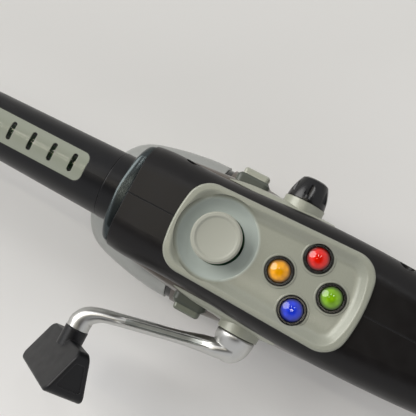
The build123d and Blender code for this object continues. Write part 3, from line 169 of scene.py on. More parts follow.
def add_node(tree: Tree, kind: str, settings: dict | None = None,
             links: dict | None = None) -> Node:
    """Adds one node with its settings and links.

    Args:
        tree: The node tree.
        kind: Type of the node.
        settings: Values by name, set in the order given; a name that is one of the node's
            sockets, or a socket's number, sets that socket, and any other name sets the
            node itself.
        links: Sockets of other nodes by the name or number of the input they feed.

    Returns:
        The new node.
    """
    node = tree.nodes.new(kind)
    for key, value in (settings or {}).items():
        if isinstance(key, int) or key in node.inputs:
            node.inputs[key].default_value = value
        else:
            setattr(node, key, value)
    for key, socket in (links or {}).items():
        tree.links.new(socket, node.inputs[key])
    return node


@dataclass
class MaterialShop:
    """Builds each finish once and hands it out by key.

    Args:
        made: Materials built so far, by key.
        coat_roughness: Roughness of every clear coat.
        blotch_mm: Size of the blotches in colour.
        gloss_mm: Size of the blotches in gloss.
        gloss_swing: Least and greatest roughness, as shares of the mean.
        wear_and_highlight_mm: Reach within which an edge counts as rubbed and lit.
        wear_and_highlight_colour: Colour of an edge paled partly by wear and partly by a painted highlight.
        flake_mm: Drawn size of a paint's flakes; real ones are 0.03 mm.
        bowl_light_edge_mm: Width over which the bowl's painted light fades into the plate.
        bowl_light_colour: Paler, cooler colour painted in the bowl as its light and reflection.
        seam_mm: Half widths of the parting line, where it is full and where it ends.
        seam_shade_colour: Linear colour of the painted shade at the bottom of the parting line.
        rim_shade_mm: Radii of a dome, where its colour is full and where the painted shade at its rim is
            darkest.
        facet_light_mm: Size of the facets under a dome, painted lighter and darker as light and shade.
    """

    made: dict[str, Material] = field(default_factory=dict)
    coat_roughness: float = 0.06
    blotch_mm: float = 11.0
    gloss_mm: float = 5.0
    gloss_swing: Pair = (0.88, 1.14)
    wear_and_highlight_mm: float = 0.7
    wear_and_highlight_colour: str = "#9a9a9c"
    flake_mm: float = 0.25
    bowl_light_edge_mm: float = 1.6
    bowl_light_colour: str = "#b9c2bb"
    seam_mm: Pair = (0.10, 0.28)
    seam_shade_colour: Colour = (0.002, 0.002, 0.002, 1.0)
    rim_shade_mm: Pair = (2.7, 4.05)
    facet_light_mm: float = 1.6

    def get(self, key: str) -> Material:
        """Returns the material of a finish.

        Args:
            key: Key into FINISHES.

        Returns:
            The node material.
        """
        if key not in self.made:
            finish = FINISHES[key]
            makers = {Grain.CLEAR: self.clear, Grain.LENS: self.lens}
            self.made[key] = makers.get(finish.grain, self.solid)(finish)
        return self.made[key]

    def _start(self, finish: Finish) -> tuple[Material, Tree, Node]:
        """Makes a node material whose shader has the finish's plain values.

        Args:
            finish: The finish to build.

        Returns:
            The material, its node tree and its shader.
        """
        material = bpy.data.materials.new(finish.name)
        material.use_nodes = True
        tree = material.node_tree
        shader = tree.nodes["Principled BSDF"]
        shader.inputs["Roughness"].default_value = finish.roughness
        shader.inputs["Metallic"].default_value = finish.metallic
        if finish.metallic < 1.0:
            shader.inputs["IOR"].default_value = finish.ior
        shader.inputs["Coat Weight"].default_value = finish.coat
        shader.inputs["Coat Roughness"].default_value = self.coat_roughness
        return material, tree, shader

    @staticmethod
    def _noise(tree: Tree, size_mm: float, detail: float, stretch: Triple = (1.0, 1.0, 1.0)) -> Socket:
        """Noise in the part's own coordinates, its scale worked out from a real size.

        Args:
            tree: The node tree.
            size_mm: Size of one blotch or grain.
            detail: Octaves of finer noise.
            stretch: Share of the scale kept along X, Y and Z.

        Returns:
            The noise, from 0 to 1.
        """
        where = add_node(tree, "ShaderNodeTexCoord")
        placed = add_node(tree, "ShaderNodeMapping", {"Scale": stretch},
                          {"Vector": where.outputs["Object"]})
        noise = add_node(tree, "ShaderNodeTexNoise",
                         {"Scale": 1.0 / (size_mm * MM), "Detail": detail, "Roughness": 0.55},
                         {"Vector": placed.outputs["Vector"]})
        return noise.outputs["Fac"]

    def solid(self, finish: Finish) -> Material:
        """Opaque surface with mottled colour, uneven gloss, fine relief and edges that catch light.

        A turned surface has its relief drawn out twentyfold along Y, its axis.

        Args:
            finish: The finish to build.

        Returns:
            The node material.
        """
        material, tree, shader = self._start(finish)
        base = linear(finish.colour)
        stretch = (1.0, 0.05, 1.0) if finish.grain is Grain.TURNED else (1.0, 1.0, 1.0)

        tint = add_node(tree, "ShaderNodeMix", {"data_type": "RGBA", "A": shade(base, 1.0 - finish.mottle),
                                                "B": shade(base, 1.0 + finish.mottle)},
                        {"Factor": self._noise(tree, self.blotch_mm, 4.0)})
        colour = tint.outputs["Result"]
        rounded = add_node(tree, "ShaderNodeBevel", {"samples": 4, "Radius": finish.edge_mm * MM})
        if finish.wear_and_edge_light > 0.0:
            colour = self._pale_worn_and_lit_edges(tree, finish, colour)

        smoothest, dullest = (min(1.0, finish.roughness * share) for share in self.gloss_swing)
        gloss = add_node(tree, "ShaderNodeMapRange",
                         {"From Min": 0.3, "From Max": 0.7, "To Min": smoothest, "To Max": dullest},
                         {"Value": self._noise(tree, self.gloss_mm, 3.0, stretch)})
        tree.links.new(gloss.outputs["Result"], shader.inputs["Roughness"])

        relief = add_node(tree, "ShaderNodeBump", {"Strength": 0.6, "Distance": finish.relief_mm * MM},
                          {"Height": self._noise(tree, finish.grain_mm, 2.0, stretch),
                           "Normal": rounded.outputs["Normal"]})
        normal = relief.outputs["Normal"]
        if finish.grain is Grain.PAINTED:
            colour = self._flakes(tree, finish, colour)
        if finish.bowl_light_mm:
            colour = self._painted_bowl_light(tree, finish, colour)
        if finish.seam:
            colour, normal = self._parting_line(tree, colour, normal)
        tree.links.new(colour, shader.inputs["Base Color"])
        tree.links.new(normal, shader.inputs["Normal"])
        return material

    def _pale_worn_and_lit_edges(self, tree: Tree, finish: Finish, colour: Socket) -> Socket:
        """Pales the edges: partly as wear where hands rub, partly as a painted highlight along them.

        An edge is where the normal averaged over a small reach leans away from the true one:
        the paling starts where their product is 0.98 and is full where it is 0.66.

        Args:
            tree: The node tree.
            finish: The finish, for its share of wear.
            colour: Colour so far.

        Returns:
            The colour with paler edges.
        """
        wide = add_node(tree, "ShaderNodeBevel", {"samples": 4, "Radius": self.wear_and_highlight_mm * MM})
        true = add_node(tree, "ShaderNodeNewGeometry")
        both = add_node(tree, "ShaderNodeVectorMath", {"operation": "DOT_PRODUCT"},
                        {0: wide.outputs["Normal"], 1: true.outputs["Normal"]})
        edge = add_node(tree, "ShaderNodeMapRange",
                        {"From Min": 0.98, "From Max": 0.66, "To Min": 0.0, "To Max": finish.wear_and_edge_light},
                        {"Value": both.outputs["Value"]})
        # Pale grey on the edges: partly wear, partly a painted highlight for the light the edges catch.
        paled = add_node(tree, "ShaderNodeMix", {"data_type": "RGBA", "B": linear(self.wear_and_highlight_colour)},
                         {"Factor": edge.outputs["Result"], "A": colour})
        return paled.outputs["Result"]

    def _flakes(self, tree: Tree, finish: Finish, colour: Socket) -> Socket:
        """Metal flakes in a sprayed paint: small cells, each a little lighter or darker.

        Args:
            tree: The node tree.
            finish: The finish, for its share of mottle.
            colour: Colour so far.

        Returns:
            The colour with flakes.
        """
        where = add_node(tree, "ShaderNodeTexCoord")
        cells = add_node(tree, "ShaderNodeTexVoronoi", {"Scale": 1.0 / (self.flake_mm * MM)},
                         {"Vector": where.outputs["Object"]})
        light = add_node(tree, "ShaderNodeSeparateColor", None, {"Color": cells.outputs["Color"]})
        span = add_node(tree, "ShaderNodeMapRange",
                        {"To Min": 1.0 - finish.mottle, "To Max": 1.0 + finish.mottle},
                        {"Value": light.outputs["Red"]})
        flaked = add_node(tree, "ShaderNodeVectorMath", {"operation": "SCALE"},
                          {0: colour, "Scale": span.outputs["Result"]})
        return flaked.outputs["Vector"]

    @staticmethod
    def _from_axis(tree: Tree, place_mm: Pair) -> Socket:
        """Distance from an axis that stands along Z.

        Args:
            tree: The node tree.
            place_mm: Where the axis stands, in X and Y.

        Returns:
            The distance in metres.
        """
        where = add_node(tree, "ShaderNodeTexCoord")
        centre = (place_mm[0] * MM, place_mm[1] * MM, 0.0)
        moved = add_node(tree, "ShaderNodeVectorMath", {"operation": "SUBTRACT", 1: centre},
                         {0: where.outputs["Object"]})
        flat = add_node(tree, "ShaderNodeVectorMath", {"operation": "MULTIPLY", 1: (1.0, 1.0, 0.0)},
                        {0: moved.outputs["Vector"]})
        radius = add_node(tree, "ShaderNodeVectorMath", {"operation": "LENGTH"},
                          {0: flat.outputs["Vector"]})
        return radius.outputs["Value"]

    def _painted_bowl_light(self, tree: Tree, finish: Finish, colour: Socket) -> Socket:
        """Paler, cooler colour inside a circle: painted light and reflection in the stick's bowl.

        Args:
            tree: The node tree.
            finish: The finish, for the circle.
            colour: Colour so far.

        Returns:
            The colour with the bowl.
        """
        place, reach = finish.bowl_light_mm
        inside = add_node(tree, "ShaderNodeMapRange",
                          {"interpolation_type": "SMOOTHSTEP", "From Min": reach * MM,
                           "From Max": (reach + self.bowl_light_edge_mm) * MM, "To Min": 1.0, "To Max": 0.0},
                          {"Value": self._from_axis(tree, (place, 0.0))})
        # Painted light: the bowl is painted paler and cooler than the plate, standing for the light and
        # reflection in it.
        paled = add_node(tree, "ShaderNodeMix", {"data_type": "RGBA", "B": linear(self.bowl_light_colour)},
                         {"Factor": inside.outputs["Result"], "A": colour})
        return paled.outputs["Result"]

    def _parting_line(self, tree: Tree, colour: Socket, normal: Socket) -> tuple[Socket, Socket]:
        """Adds the fine groove where two moulded halves meet on the plane y = 0: a bump, darkened with
        painted shade along its bottom.

        Args:
            tree: The node tree.
            colour: Colour so far.
            normal: Normal so far.

        Returns:
            Colour and normal with the groove.
        """
        where = add_node(tree, "ShaderNodeTexCoord")
        split = add_node(tree, "ShaderNodeSeparateXYZ", None, {"Vector": where.outputs["Object"]})
        away = add_node(tree, "ShaderNodeMath", {"operation": "ABSOLUTE"}, {0: split.outputs["Y"]})
        depth = add_node(tree, "ShaderNodeMapRange", {"From Min": self.seam_mm[0] * MM, "To Min": 1.0,
                                                      "From Max": self.seam_mm[1] * MM, "To Max": 0.0},
                         {"Value": away.outputs["Value"]})
        # Painted shade: the groove is drawn darker towards its middle, standing for the shade in it.
        shaded_groove = add_node(tree, "ShaderNodeMix", {"data_type": "RGBA", "B": self.seam_shade_colour},
                          {"Factor": depth.outputs["Result"], "A": colour})
        groove = add_node(tree, "ShaderNodeBump", {"invert": True, "Strength": 0.8, "Distance": 0.15 * MM},
                          {"Height": depth.outputs["Result"], "Normal": normal})
        return shaded_groove.outputs["Result"], groove.outputs["Normal"]

    def lens(self, finish: Finish) -> Material:
        """Opaque glossy dome painted with the colour of the core as seen through it.

        The colour is full near the button's axis and falls to a dark rim: painted shade where the black
        ring shows through the dome.
        Broad soft facets, painted lighter and darker, stand for the light and shade of the moulded pattern
        under the dome.

        Args:
            finish: The finish to build.

        Returns:
            The node material.
        """
        material, tree, shader = self._start(finish)
        base = linear(finish.colour)
        where = add_node(tree, "ShaderNodeTexCoord")
        rim_shade = add_node(tree, "ShaderNodeMapRange",
                       {"interpolation_type": "SMOOTHSTEP", "From Min": self.rim_shade_mm[0] * MM,
                        "From Max": self.rim_shade_mm[1] * MM, "To Min": 0.0, "To Max": 0.9},
                       {"Value": self._from_axis(tree, finish.centre_mm)})
        cells = add_node(tree, "ShaderNodeTexVoronoi",
                         {"feature": "SMOOTH_F1", "Scale": 1.0 / (self.facet_light_mm * MM), "Smoothness": 0.6},
                         {"Vector": where.outputs["Object"]})
        # Painted light and shade: the facets are painted lighter and darker than the core's even colour.
        facet_shading = add_node(tree, "ShaderNodeMix",
                         {"data_type": "RGBA", "A": shade(base, 1.18), "B": shade(base, 0.62)},
                         {"Factor": cells.outputs["Distance"]})
        # Painted shade: the colour darkens towards the rim, where the black ring shows through the dome.
        dark = add_node(tree, "ShaderNodeMix", {"data_type": "RGBA", "B": shade(base, 0.05)},
                        {"Factor": rim_shade.outputs["Result"], "A": facet_shading.outputs["Result"]})
        tree.links.new(dark.outputs["Result"], shader.inputs["Base Color"])
        return material

    def clear(self, finish: Finish) -> Material:
        """Clear moulding that lets light through.

        Args:
            finish: The finish to build.

        Returns:
            The node material.
        """
        material, tree, shader = self._start(finish)
        shader.inputs["Transmission Weight"].default_value = 1.0
        base = linear(finish.colour)
        tint = add_node(tree, "ShaderNodeMix", {"data_type": "RGBA", "A": shade(base, 0.97), "B": base},
                        {"Factor": self._noise(tree, 3.0, 2.0)})
        tree.links.new(tint.outputs["Result"], shader.inputs["Base Color"])
        relief = add_node(tree, "ShaderNodeBump", {"Strength": 0.3, "Distance": finish.relief_mm * MM},
                          {"Height": self._noise(tree, finish.grain_mm, 1.0)})
        tree.links.new(relief.outputs["Normal"], shader.inputs["Normal"])
        return material


BUTTON_SPOTS: dict[str, Pair] = {
    "front": (X_PAD + PAD_PITCH, 0.0),
    "right": (X_PAD, -PAD_PITCH),
    "rear": (X_PAD - PAD_PITCH, 0.0),
    "left": (X_PAD, PAD_PITCH),
}

FINISHES: dict[str, Finish] = {
    # Impact-resistant moulding from a fine spark-eroded tool: near black, with a broad soft sheen.
    "black_shell": Finish("black moulded shell, satin", "#100e0e", Grain.MOULDED, 0.34, ior=1.35,
                          grain_mm=0.3, relief_mm=0.004, mottle=0.06, wear_and_edge_light=0.06, seam=True),
    # Warm grey metallic paint over the lower mouldings: darker than it is shiny, brown in the shade.
    "taupe_paint": Finish("warm grey metallic paint", "#59524b", Grain.PAINTED, 0.30, metallic=0.2,
                          coat=0.2, grain_mm=0.8, relief_mm=0.0005, mottle=0.02),
    # Pearl grey-green paint on the plate and inlays: an even satin with a faint cool edge light, partly a
    # painted highlight on its paled edges.
    "inlay_plastic": Finish("grey-green satin paint on moulding", "#9a9c8e", Grain.PAINTED, 0.34,
                            metallic=0.12, coat=0.12, grain_mm=0.3, relief_mm=0.002, mottle=0.035,
                            wear_and_edge_light=0.05),
    # The same colour on the tube's panel, polished: lamps draw thin lines along its crest.
    "panel_gloss": Finish("grey-green polished moulding", "#8b8f81", Grain.MOULDED, 0.055, grain_mm=3.0,
                          relief_mm=0.0002, mottle=0.03),
    # Silver paint on the reel's bowl: bright, soft, cool.
    "silver_paint": Finish("silver metallic paint", "#a3a5a2", Grain.PAINTED, 0.34, metallic=0.6,
                           grain_mm=0.8, relief_mm=0.0005, mottle=0.02),
    # Lacquered black tube: smoother than the shells, with long clear streaks of light.
    "tube_black": Finish("black lacquered tube", "#0e0e10", Grain.MOULDED, 0.32, ior=1.36,
                         grain_mm=0.5, relief_mm=0.002, mottle=0.05, wear_and_edge_light=0.05),
    # Clear strip with a warm smoke: the board shows through, greener and dimmer.
    "smoked_lens": Finish("smoked clear light lens", "#d9e2c4", Grain.CLEAR, 0.08, ior=1.49,
                          grain_mm=1.2, relief_mm=0.002),
    # Lacquer over copper: uneven green with a thin gloss.
    "board_green": Finish("green circuit board lacquer", "#35704a", Grain.MOULDED, 0.35, coat=0.3,
                          grain_mm=0.8, relief_mm=0.01, mottle=0.25),
    # Matt rubber: it swallows highlights and looks softer than the shells.
    "rubber_black": Finish("black moulded rubber", "#161617", Grain.RUBBER, 0.72, ior=1.52,
                           grain_mm=0.25, relief_mm=0.012, mottle=0.10),
    # Polished rings: small sharp lights on near black.
    "button_black": Finish("black gloss moulding", "#0b0a0a", Grain.MOULDED, 0.14,
                           grain_mm=0.8, relief_mm=0.001, mottle=0.05),
    # Dark wedge under the finger buttons: a quiet satin.
    "base_olive": Finish("dark olive moulding, satin", "#454a41", Grain.MOULDED, 0.38,
                         grain_mm=0.3, relief_mm=0.003, mottle=0.05),
    # Soft-touch lacquer on the stick's cap: paler than the plate, with hardly any gloss.
    "stick_rubber": Finish("grey soft-touch cap", "#9d9e92", Grain.RUBBER, 0.46, grain_mm=0.25,
                           relief_mm=0.003, mottle=0.02),
    # Turned steel: cold, with fine rings round the axle that draw a highlight out.
    "steel": Finish("turned steel", "#b9bbbd", Grain.TURNED, 0.28, metallic=1.0, grain_mm=0.2,
                    relief_mm=0.003, mottle=0.04),
    # Sintered bronze of bushes and weight: warm, grainy and half dull with oil.
    "brass": Finish("sintered bronze", "#b08a4f", Grain.TURNED, 0.42, metallic=1.0, grain_mm=0.2,
                    relief_mm=0.004, mottle=0.08),
    # Unpainted acetal: milky, slightly waxy teeth and stems.
    "gear_plastic": Finish("natural acetal", "#dedbd0", Grain.MOULDED, 0.38, grain_mm=0.5,
                           relief_mm=0.003, mottle=0.03),
    # Satin nickel on a cast arm: broad streaks of light and dark that run along it.
    "crank_metal": Finish("satin nickel plate on a cast arm", "#bdbdba", Grain.POLISHED, 0.34,
                          metallic=1.0, grain_mm=2.2, relief_mm=0.001, mottle=0.02),
    # The channel in the arm: the same plate, duller, and darker as painted shade in the recess.
    "channel_shaded_metal": Finish("plate darkened with painted shade in the arm's channel", "#8a8d8a", Grain.POLISHED, 0.42,
                            metallic=1.0, grain_mm=0.6, relief_mm=0.003, mottle=0.05),
    # Charcoal knob from the same kind of tool as the shells, a shade duller.
    "paddle_black": Finish("charcoal moulded knob, satin", "#101012", Grain.MOULDED, 0.38, ior=1.36,
                           grain_mm=0.35, relief_mm=0.004, mottle=0.07, wear_and_edge_light=0.10),
    # Gloss cap: its flutes each catch one thin light.
    "cap_black": Finish("black gloss screw cap", "#0c0c0d", Grain.MOULDED, 0.22, ior=1.42,
                        grain_mm=0.8, relief_mm=0.001, mottle=0.05),
    # Painted finger button: the grey-green of the right one, darkened as painted shade, with a weak metal
    # glint.
    "left_bar_shaded": Finish("grey-green painted button, darkened as painted shade", "#6d7265", Grain.PAINTED, 0.30, metallic=0.2,
                        coat=0.2, grain_mm=0.3, relief_mm=0.002, mottle=0.05),
    # Shrunk film on the cells: black with long wet streaks.
    "cell_wrap": Finish("plain black cell wrap", "#18181b", Grain.MOULDED, 0.25, grain_mm=2.0,
                        relief_mm=0.002, mottle=0.05),
    # Nickel on thin steel: contacts and screw heads sparkle as small points.
    "spring_steel": Finish("nickel plated spring steel", "#c4c2bb", Grain.POLISHED, 0.25, metallic=1.0,
                           grain_mm=0.5, relief_mm=0.002, mottle=0.03),
    # Vacuum-plated bevel between tube and body: dark, with one hard bright streak.
    "ring_metal": Finish("dark vacuum-plated trim ring", "#3f4546", Grain.POLISHED, 0.22, metallic=0.85,
                         grain_mm=1.5, relief_mm=0.001, mottle=0.03),
}

BUTTON_COLOURS: dict[str, tuple[str, str]] = {
    "front": ("yellow", "#f2a200"), "right": ("red", "#dd1400"),
    "rear": ("green", "#76a806"), "left": ("blue", "#1b36cc"),
}
# The inlays' paint on the plate, with painted light and reflection, paler and cooler, in the stick's bowl.
FINISHES["plate_paint"] = replace(FINISHES["inlay_plastic"], colour="#8f9184", bowl_light_mm=(X_STICK, 14.2),
                                  name="grey-green satin paint with painted light in its bowl")
for spot_name, (word, hex_colour) in BUTTON_COLOURS.items():
    # Dyed core: a strong, even colour under the dome.
    FINISHES["core_" + word] = Finish(word + " moulded core", hex_colour, Grain.MOULDED, 0.25, coat=0.3,
                                      relief_mm=0.002, mottle=0.08)
    # Polished acrylic over it: mirror-sharp lamp lights on a deep colour, with painted shade at its rim and
    # painted light and shade on its facets.
    FINISHES["dome_" + word] = Finish("acrylic dome over a " + word + " core", hex_colour, Grain.LENS, 0.03,
                                      ior=1.49, coat=0.3, centre_mm=BUTTON_SPOTS[spot_name])


@dataclass
class Surface:
    """A mesh under construction: points and faces in metres.

    Args:
        name: Name of the piece.
        points: Points of each grid of rings.
        faces: Four-sided faces of each grid, by point.
        marks: For each of those faces, 1 where the second finish shows.
        ends: Faces that close the ends, by point.
    """

    name: str
    points: list[np.ndarray] = field(default_factory=list)
    faces: list[np.ndarray] = field(default_factory=list)
    marks: list[np.ndarray] = field(default_factory=list)
    ends: list[tuple[int, ...]] = field(default_factory=list)

    def add_rings(self, rings: np.ndarray, closed: bool = True, sunk: np.ndarray | None = None) -> None:
        """Skins a grid of rings with four-sided faces.

        Face (i, j) joins points j and j + 1 of ring i with those of ring i + 1, and the
        last point of a ring joins its first.

        Args:
            rings: Array of shape rings x points x 3.
            closed: True to close both ends with one face.
            sunk: For each point, 1 where the second finish shows.
        """
        base = sum(len(p) for p in self.points)
        count, around = rings.shape[:2]
        self.points.append(rings.reshape(-1, 3))
        i, j = np.meshgrid(np.arange(count - 1), np.arange(around), indexing="ij")
        k = (j + 1) % around
        corners = np.stack([i * around + j, i * around + k, (i + 1) * around + k, (i + 1) * around + j],
                           -1).reshape(-1, 4)
        self.faces.append(base + corners)
        mark = np.zeros(len(corners)) if sunk is None else sunk.reshape(-1)[corners].min(-1)
        self.marks.append((mark > 0.5).astype(np.int32))
        if closed:
            self.ends.append(tuple(range(base + around - 1, base - 1, -1)))
            self.ends.append(tuple(range(base + (count - 1) * around, base + count * around)))

    def build(self, material: Material, smooth: bool = True,
              second: Material | None = None) -> bpy.types.Object:
        """Makes the object at the origin.

        Args:
            material: Finish of the piece.
            smooth: True for smooth shading.
            second: Finish of its sunk faces, if it has any.

        Returns:
            The new object, linked to the scene.
        """
        mesh = bpy.data.meshes.new(self.name)
        faces = [tuple(face) for face in np.concatenate(self.faces).tolist()] + self.ends
        mesh.from_pydata(np.concatenate(self.points).tolist(), [], faces)
        mesh.validate()
        mesh.update()
        mesh.polygons.foreach_set("use_smooth", np.full(len(mesh.polygons), smooth))
        mesh.materials.append(material)
        if second:
            mesh.materials.append(second)
            marks = np.concatenate(self.marks + [np.zeros(len(self.ends), dtype=np.int32)])
            mesh.polygons.foreach_set("material_index", marks)
        piece = bpy.data.objects.new(self.name, mesh)
        bpy.context.scene.collection.objects.link(piece)
        return piece


def turn_of(count: int) -> np.ndarray:
    """The given number of angles, evenly spread over one turn from 0."""
    return np.linspace(0.0, 2 * math.pi, count, endpoint=False)


@dataclass
class Assembly:
    """One sub-assembly: the CAD nodes it dresses and the pieces it adds.

    Args:
        shop: Maker of the finishes.
        nodes: CAD nodes by name.
        wears: Key of the finish of each node of this sub-assembly.
    """

    shop: MaterialShop
    nodes: dict[str, bpy.types.Object]
    wears: ClassVar[dict[str, str]] = {}

    def dress(self) -> None:
        """Gives each CAD node of the sub-assembly its finish."""
        for name, finish in self.wears.items():
            materials = self.nodes[name].data.materials
            materials.clear()
            materials.append(self.shop.get(finish))
            LOG.info("%s: %s", name, FINISHES[finish].name)

    def pieces(self) -> None:
        """Adds nothing, unless a sub-assembly has pieces of its own."""

    def build(self) -> None:
        """Dresses the nodes and adds the pieces."""
        self.dress()
        self.pieces()


@dataclass
class Grip(Assembly):
    """Body halves, lower halves, inlays, battery bay and the screws that hold the halves.

    Args:
        screw_spots_mm: Place of each screw in X and Z.
        head_radius_mm: Radius of a screw's head.
        head_rise_mm: Height of the head over its seat.
        edge_mm: Width and drop of the head's rounded edge.
        seat_mm: Bottom of the recesses in Y.
        slot_half_mm: Half width of the cross slot.
        slot_reach_mm: Reach of the slot from the head's middle.
        slot_depth_mm: Depth of the slot.
    """

    wears = {
        "left_shell": "black_shell", "right_shell": "black_shell", "left_lower": "taupe_paint",
        "right_lower": "taupe_paint", "left_inlay": "inlay_plastic", "right_inlay": "inlay_plastic",
        "battery_door": "black_shell", "butt_cap": "rubber_black", "battery_tray": "button_black",
        "front_cell": "cell_wrap", "rear_cell": "cell_wrap", "front_contact": "spring_steel",
        "leaf_contact": "spring_steel",
    }
    screw_spots_mm: tuple[Pair, ...] = ((X_AXLE + 43.0, 5.2), (X_AXLE - 43.6, 5.2), (10.0, -2.0))
    head_radius_mm: float = 2.7
    head_rise_mm: float = 1.4
    edge_mm: float = 0.5
    seat_mm: float = -11.0
    slot_half_mm: float = 0.28
    slot_reach_mm: float = 1.6
    slot_depth_mm: float = 0.7

    def pieces(self) -> None:
        """Adds the cross-head screws at the bottom of the right shell's recesses.

        A head is a disc whose rounded edge falls by the square of the way into it; points
        nearer to either axis than the slot's half width sink.
        """
        angle = turn_of(96)
        share = np.linspace(0.0, 0.995, 25)[:, None]
        reach = self.head_radius_mm * (1.0 - share)
        edge = np.clip(1.0 - (self.head_radius_mm - reach) / self.edge_mm, 0.0, 1.0)
        across = reach * np.cos(angle)
        along = reach * np.sin(angle)
        from_axes = np.minimum(np.abs(across), np.abs(along))
        in_slot = (from_axes < self.slot_half_mm) & (reach < self.slot_reach_mm)
        height = self.head_rise_mm - self.edge_mm * edge ** 2 - np.where(in_slot, self.slot_depth_mm, 0.0)
        foot = np.stack([across[0], np.zeros(len(angle)), along[0]], -1)[None]
        top = np.stack([across, -height, along], -1)
        for number, (x, z) in enumerate(self.screw_spots_mm):
            surface = Surface(f"shell_screw_{number + 1}")
            place = np.array([x, self.seat_mm, z])
            surface.add_rings((np.concatenate([foot, top]) + place) * MM)
            piece = surface.build(self.shop.get("spring_steel"), smooth=False)
            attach(piece, "handset")
            LOG.info("%s: %s", piece.name, FINISHES["spring_steel"].name)


@dataclass
class FacePlate(Assembly):
    """Plate with four domed buttons and their pad."""

    wears = {
        "face_plate": "plate_paint", "button_pad": "rubber_black",
        **{"button_ring_" + spot: "button_black" for spot in BUTTON_SPOTS},
        **{"button_core_" + spot: "core_" + BUTTON_COLOURS[spot][0] for spot in BUTTON_SPOTS},
        **{"button_cap_" + spot: "dome_" + BUTTON_COLOURS[spot][0] for spot in BUTTON_SPOTS},
    }


@dataclass
class Thumbstick(Assembly):
    """Stick with its gimbal."""

    wears = {
        "stick_base": "steel", "stick_yoke": "gear_plastic", "stick_stem": "gear_plastic",
        "stick_skirt": "button_black", "stick_cap": "stick_rubber",
    }


@dataclass
class Flanks(Assembly):
    """Bar buttons on both sides."""

    wears = {
        "left_flank_base": "base_olive", "right_flank_base": "base_olive",
        # The left button takes a darker copy of the right one's paint: painted shade.
        "left_flank_button": "left_bar_shaded", "right_flank_button": "inlay_plastic",
    }


@dataclass
class Rod(Assembly):
    """Tube with its light panel, ring, collar and tip.

    Args:
        body_end_mm: Where the body ends and the ring starts, in X.
        ring_end_mm: Where the ring ends and the collar starts.
        seam_mm: Where the collar ends and the tube starts.
        outline_mm: Width, height and corner radius of the body's front end.
        outline_z_mm: Height of the middle of that end.
        bore_mm: Radius of the bore through ring and collar.
        collar_radius_mm: Radius of the collar.
        lip_mm: Step from the ring's small end down to the collar.
        bead_mm: Height of the ring's bead.
        collar_end_mm: Its rounded end: ways back from the seam and inwards.
        around: Points round the rod.
        sections: Sections of the ring, along the rod.
    """

    wears = {
        "front_ring": "ring_metal", "front_collar": "tube_black", "rod_tube": "tube_black",
        "tube_panel": "panel_gloss", "light_lens": "smoked_lens", "light_board": "board_green",
        "tip_cap": "rubber_black",
    }
    body_end_mm: float = 233.0
    ring_end_mm: float = 237.4
    seam_mm: float = 243.1
    outline_mm: Triple = (42.0, 33.8, 11.5)
    outline_z_mm: float = -3.1
    bore_mm: float = 10.6
    collar_radius_mm: float = 13.5
    lip_mm: float = 0.1
    bead_mm: float = 0.35
    collar_end_mm: tuple[Pair, ...] = ((0.45, 0.0), (0.25, 0.05), (0.12, 0.3), (0.0, 0.3))
    around: int = 192
    sections: int = 17

    def _outline(self, way: np.ndarray) -> np.ndarray:
        """Rounded rectangle at the body's front end, seen along the rod.

        A point is the half flats times twice the way, held to 1, plus the corner radius
        along the way, so that the flats fill with evenly spread points.

        Args:
            way: Directions round the rod, of shape points x 2.

        Returns:
            Points of the same shape, as Y and Z.
        """
        width, height, corner = self.outline_mm
        flats = np.array([width, height]) / 2 - corner
        return np.clip(way * 2.0, -1.0, 1.0) * flats + corner * way + np.array([0.0, self.outline_z_mm])

    def pieces(self) -> None:
        """Adds the bevelled ring and the collar with the shapes that light needs.

        The ring's section morphs from the body's outline to a circle: a point is
        (1 - e) times the outline plus e times the circle, e being one less the cosine of the
        way from 0 to 90 degrees, pushed outwards by a bead of half a sine. The collar is a
        profile turned about the rod's axis.
        """
        angle = turn_of(self.around)
        round_way = np.stack([np.cos(angle), np.sin(angle)], -1)
        outline = self._outline(round_way)
        circle = round_way * (self.collar_radius_mm + self.lip_mm)
        way = np.linspace(0.0, 1.0, self.sections)[:, None, None]
        ease = 1.0 - np.cos(way * math.pi / 2)
        section = (1.0 - ease) * outline + ease * circle + self.bead_mm * np.sin(way * math.pi) * round_way
        along = self.body_end_mm + (self.ring_end_mm - self.body_end_mm) * np.sin(way * math.pi / 2)
        skin = np.concatenate([np.broadcast_to(along, (self.sections, self.around, 1)), section], -1)
        bore = round_way * self.bore_mm
        rear = np.insert(bore, 0, self.body_end_mm, axis=1)[None]
        front = np.insert(bore, 0, self.ring_end_mm, axis=1)[None]
        ring = Surface("bevelled_trim_ring")
        ring.add_rings(np.concatenate([rear, skin, front, rear])[:, ::-1] * MM, closed=False)
        self._place(ring, "ring_metal", "front_ring")

        radius = self.collar_radius_mm
        profile = np.array([
            (self.ring_end_mm, self.bore_mm), (self.ring_end_mm, radius),
            *((self.seam_mm - back, radius - inwards) for back, inwards in self.collar_end_mm),
            (self.seam_mm, self.bore_mm), (self.ring_end_mm, self.bore_mm),
        ])
        rings = np.concatenate([
            np.broadcast_to(profile[:, None, :1], (len(profile), self.around, 1)),
            profile[:, None, 1:] * round_way,
        ], -1)
        collar = Surface("tube_collar")
        collar.add_rings(rings[:, ::-1] * MM, closed=False)
        self._place(collar, "tube_black", "front_collar", smooth=False)

    def _place(self, surface: Surface, finish: str, node: str, smooth: bool = True) -> None:
        """Builds a piece in place of a CAD node of the body.

        Args:
            surface: The mesh.
            finish: Key of its finish.
            node: CAD node that it stands for.
            smooth: True for smooth shading.
        """
        piece = surface.build(self.shop.get(finish), smooth)
        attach(piece, "handset")
        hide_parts(node)
        LOG.info("%s: %s", piece.name, FINISHES[finish].name)


@dataclass
class Reel(Assembly):
    """Closed reel with the rumble motor in it."""

    wears = {
        "reel_front": "silver_paint", "reel_band": "button_black", "reel_rear": "taupe_paint",
        "rumble_motor": "steel", "rumble_weight": "brass",
    }


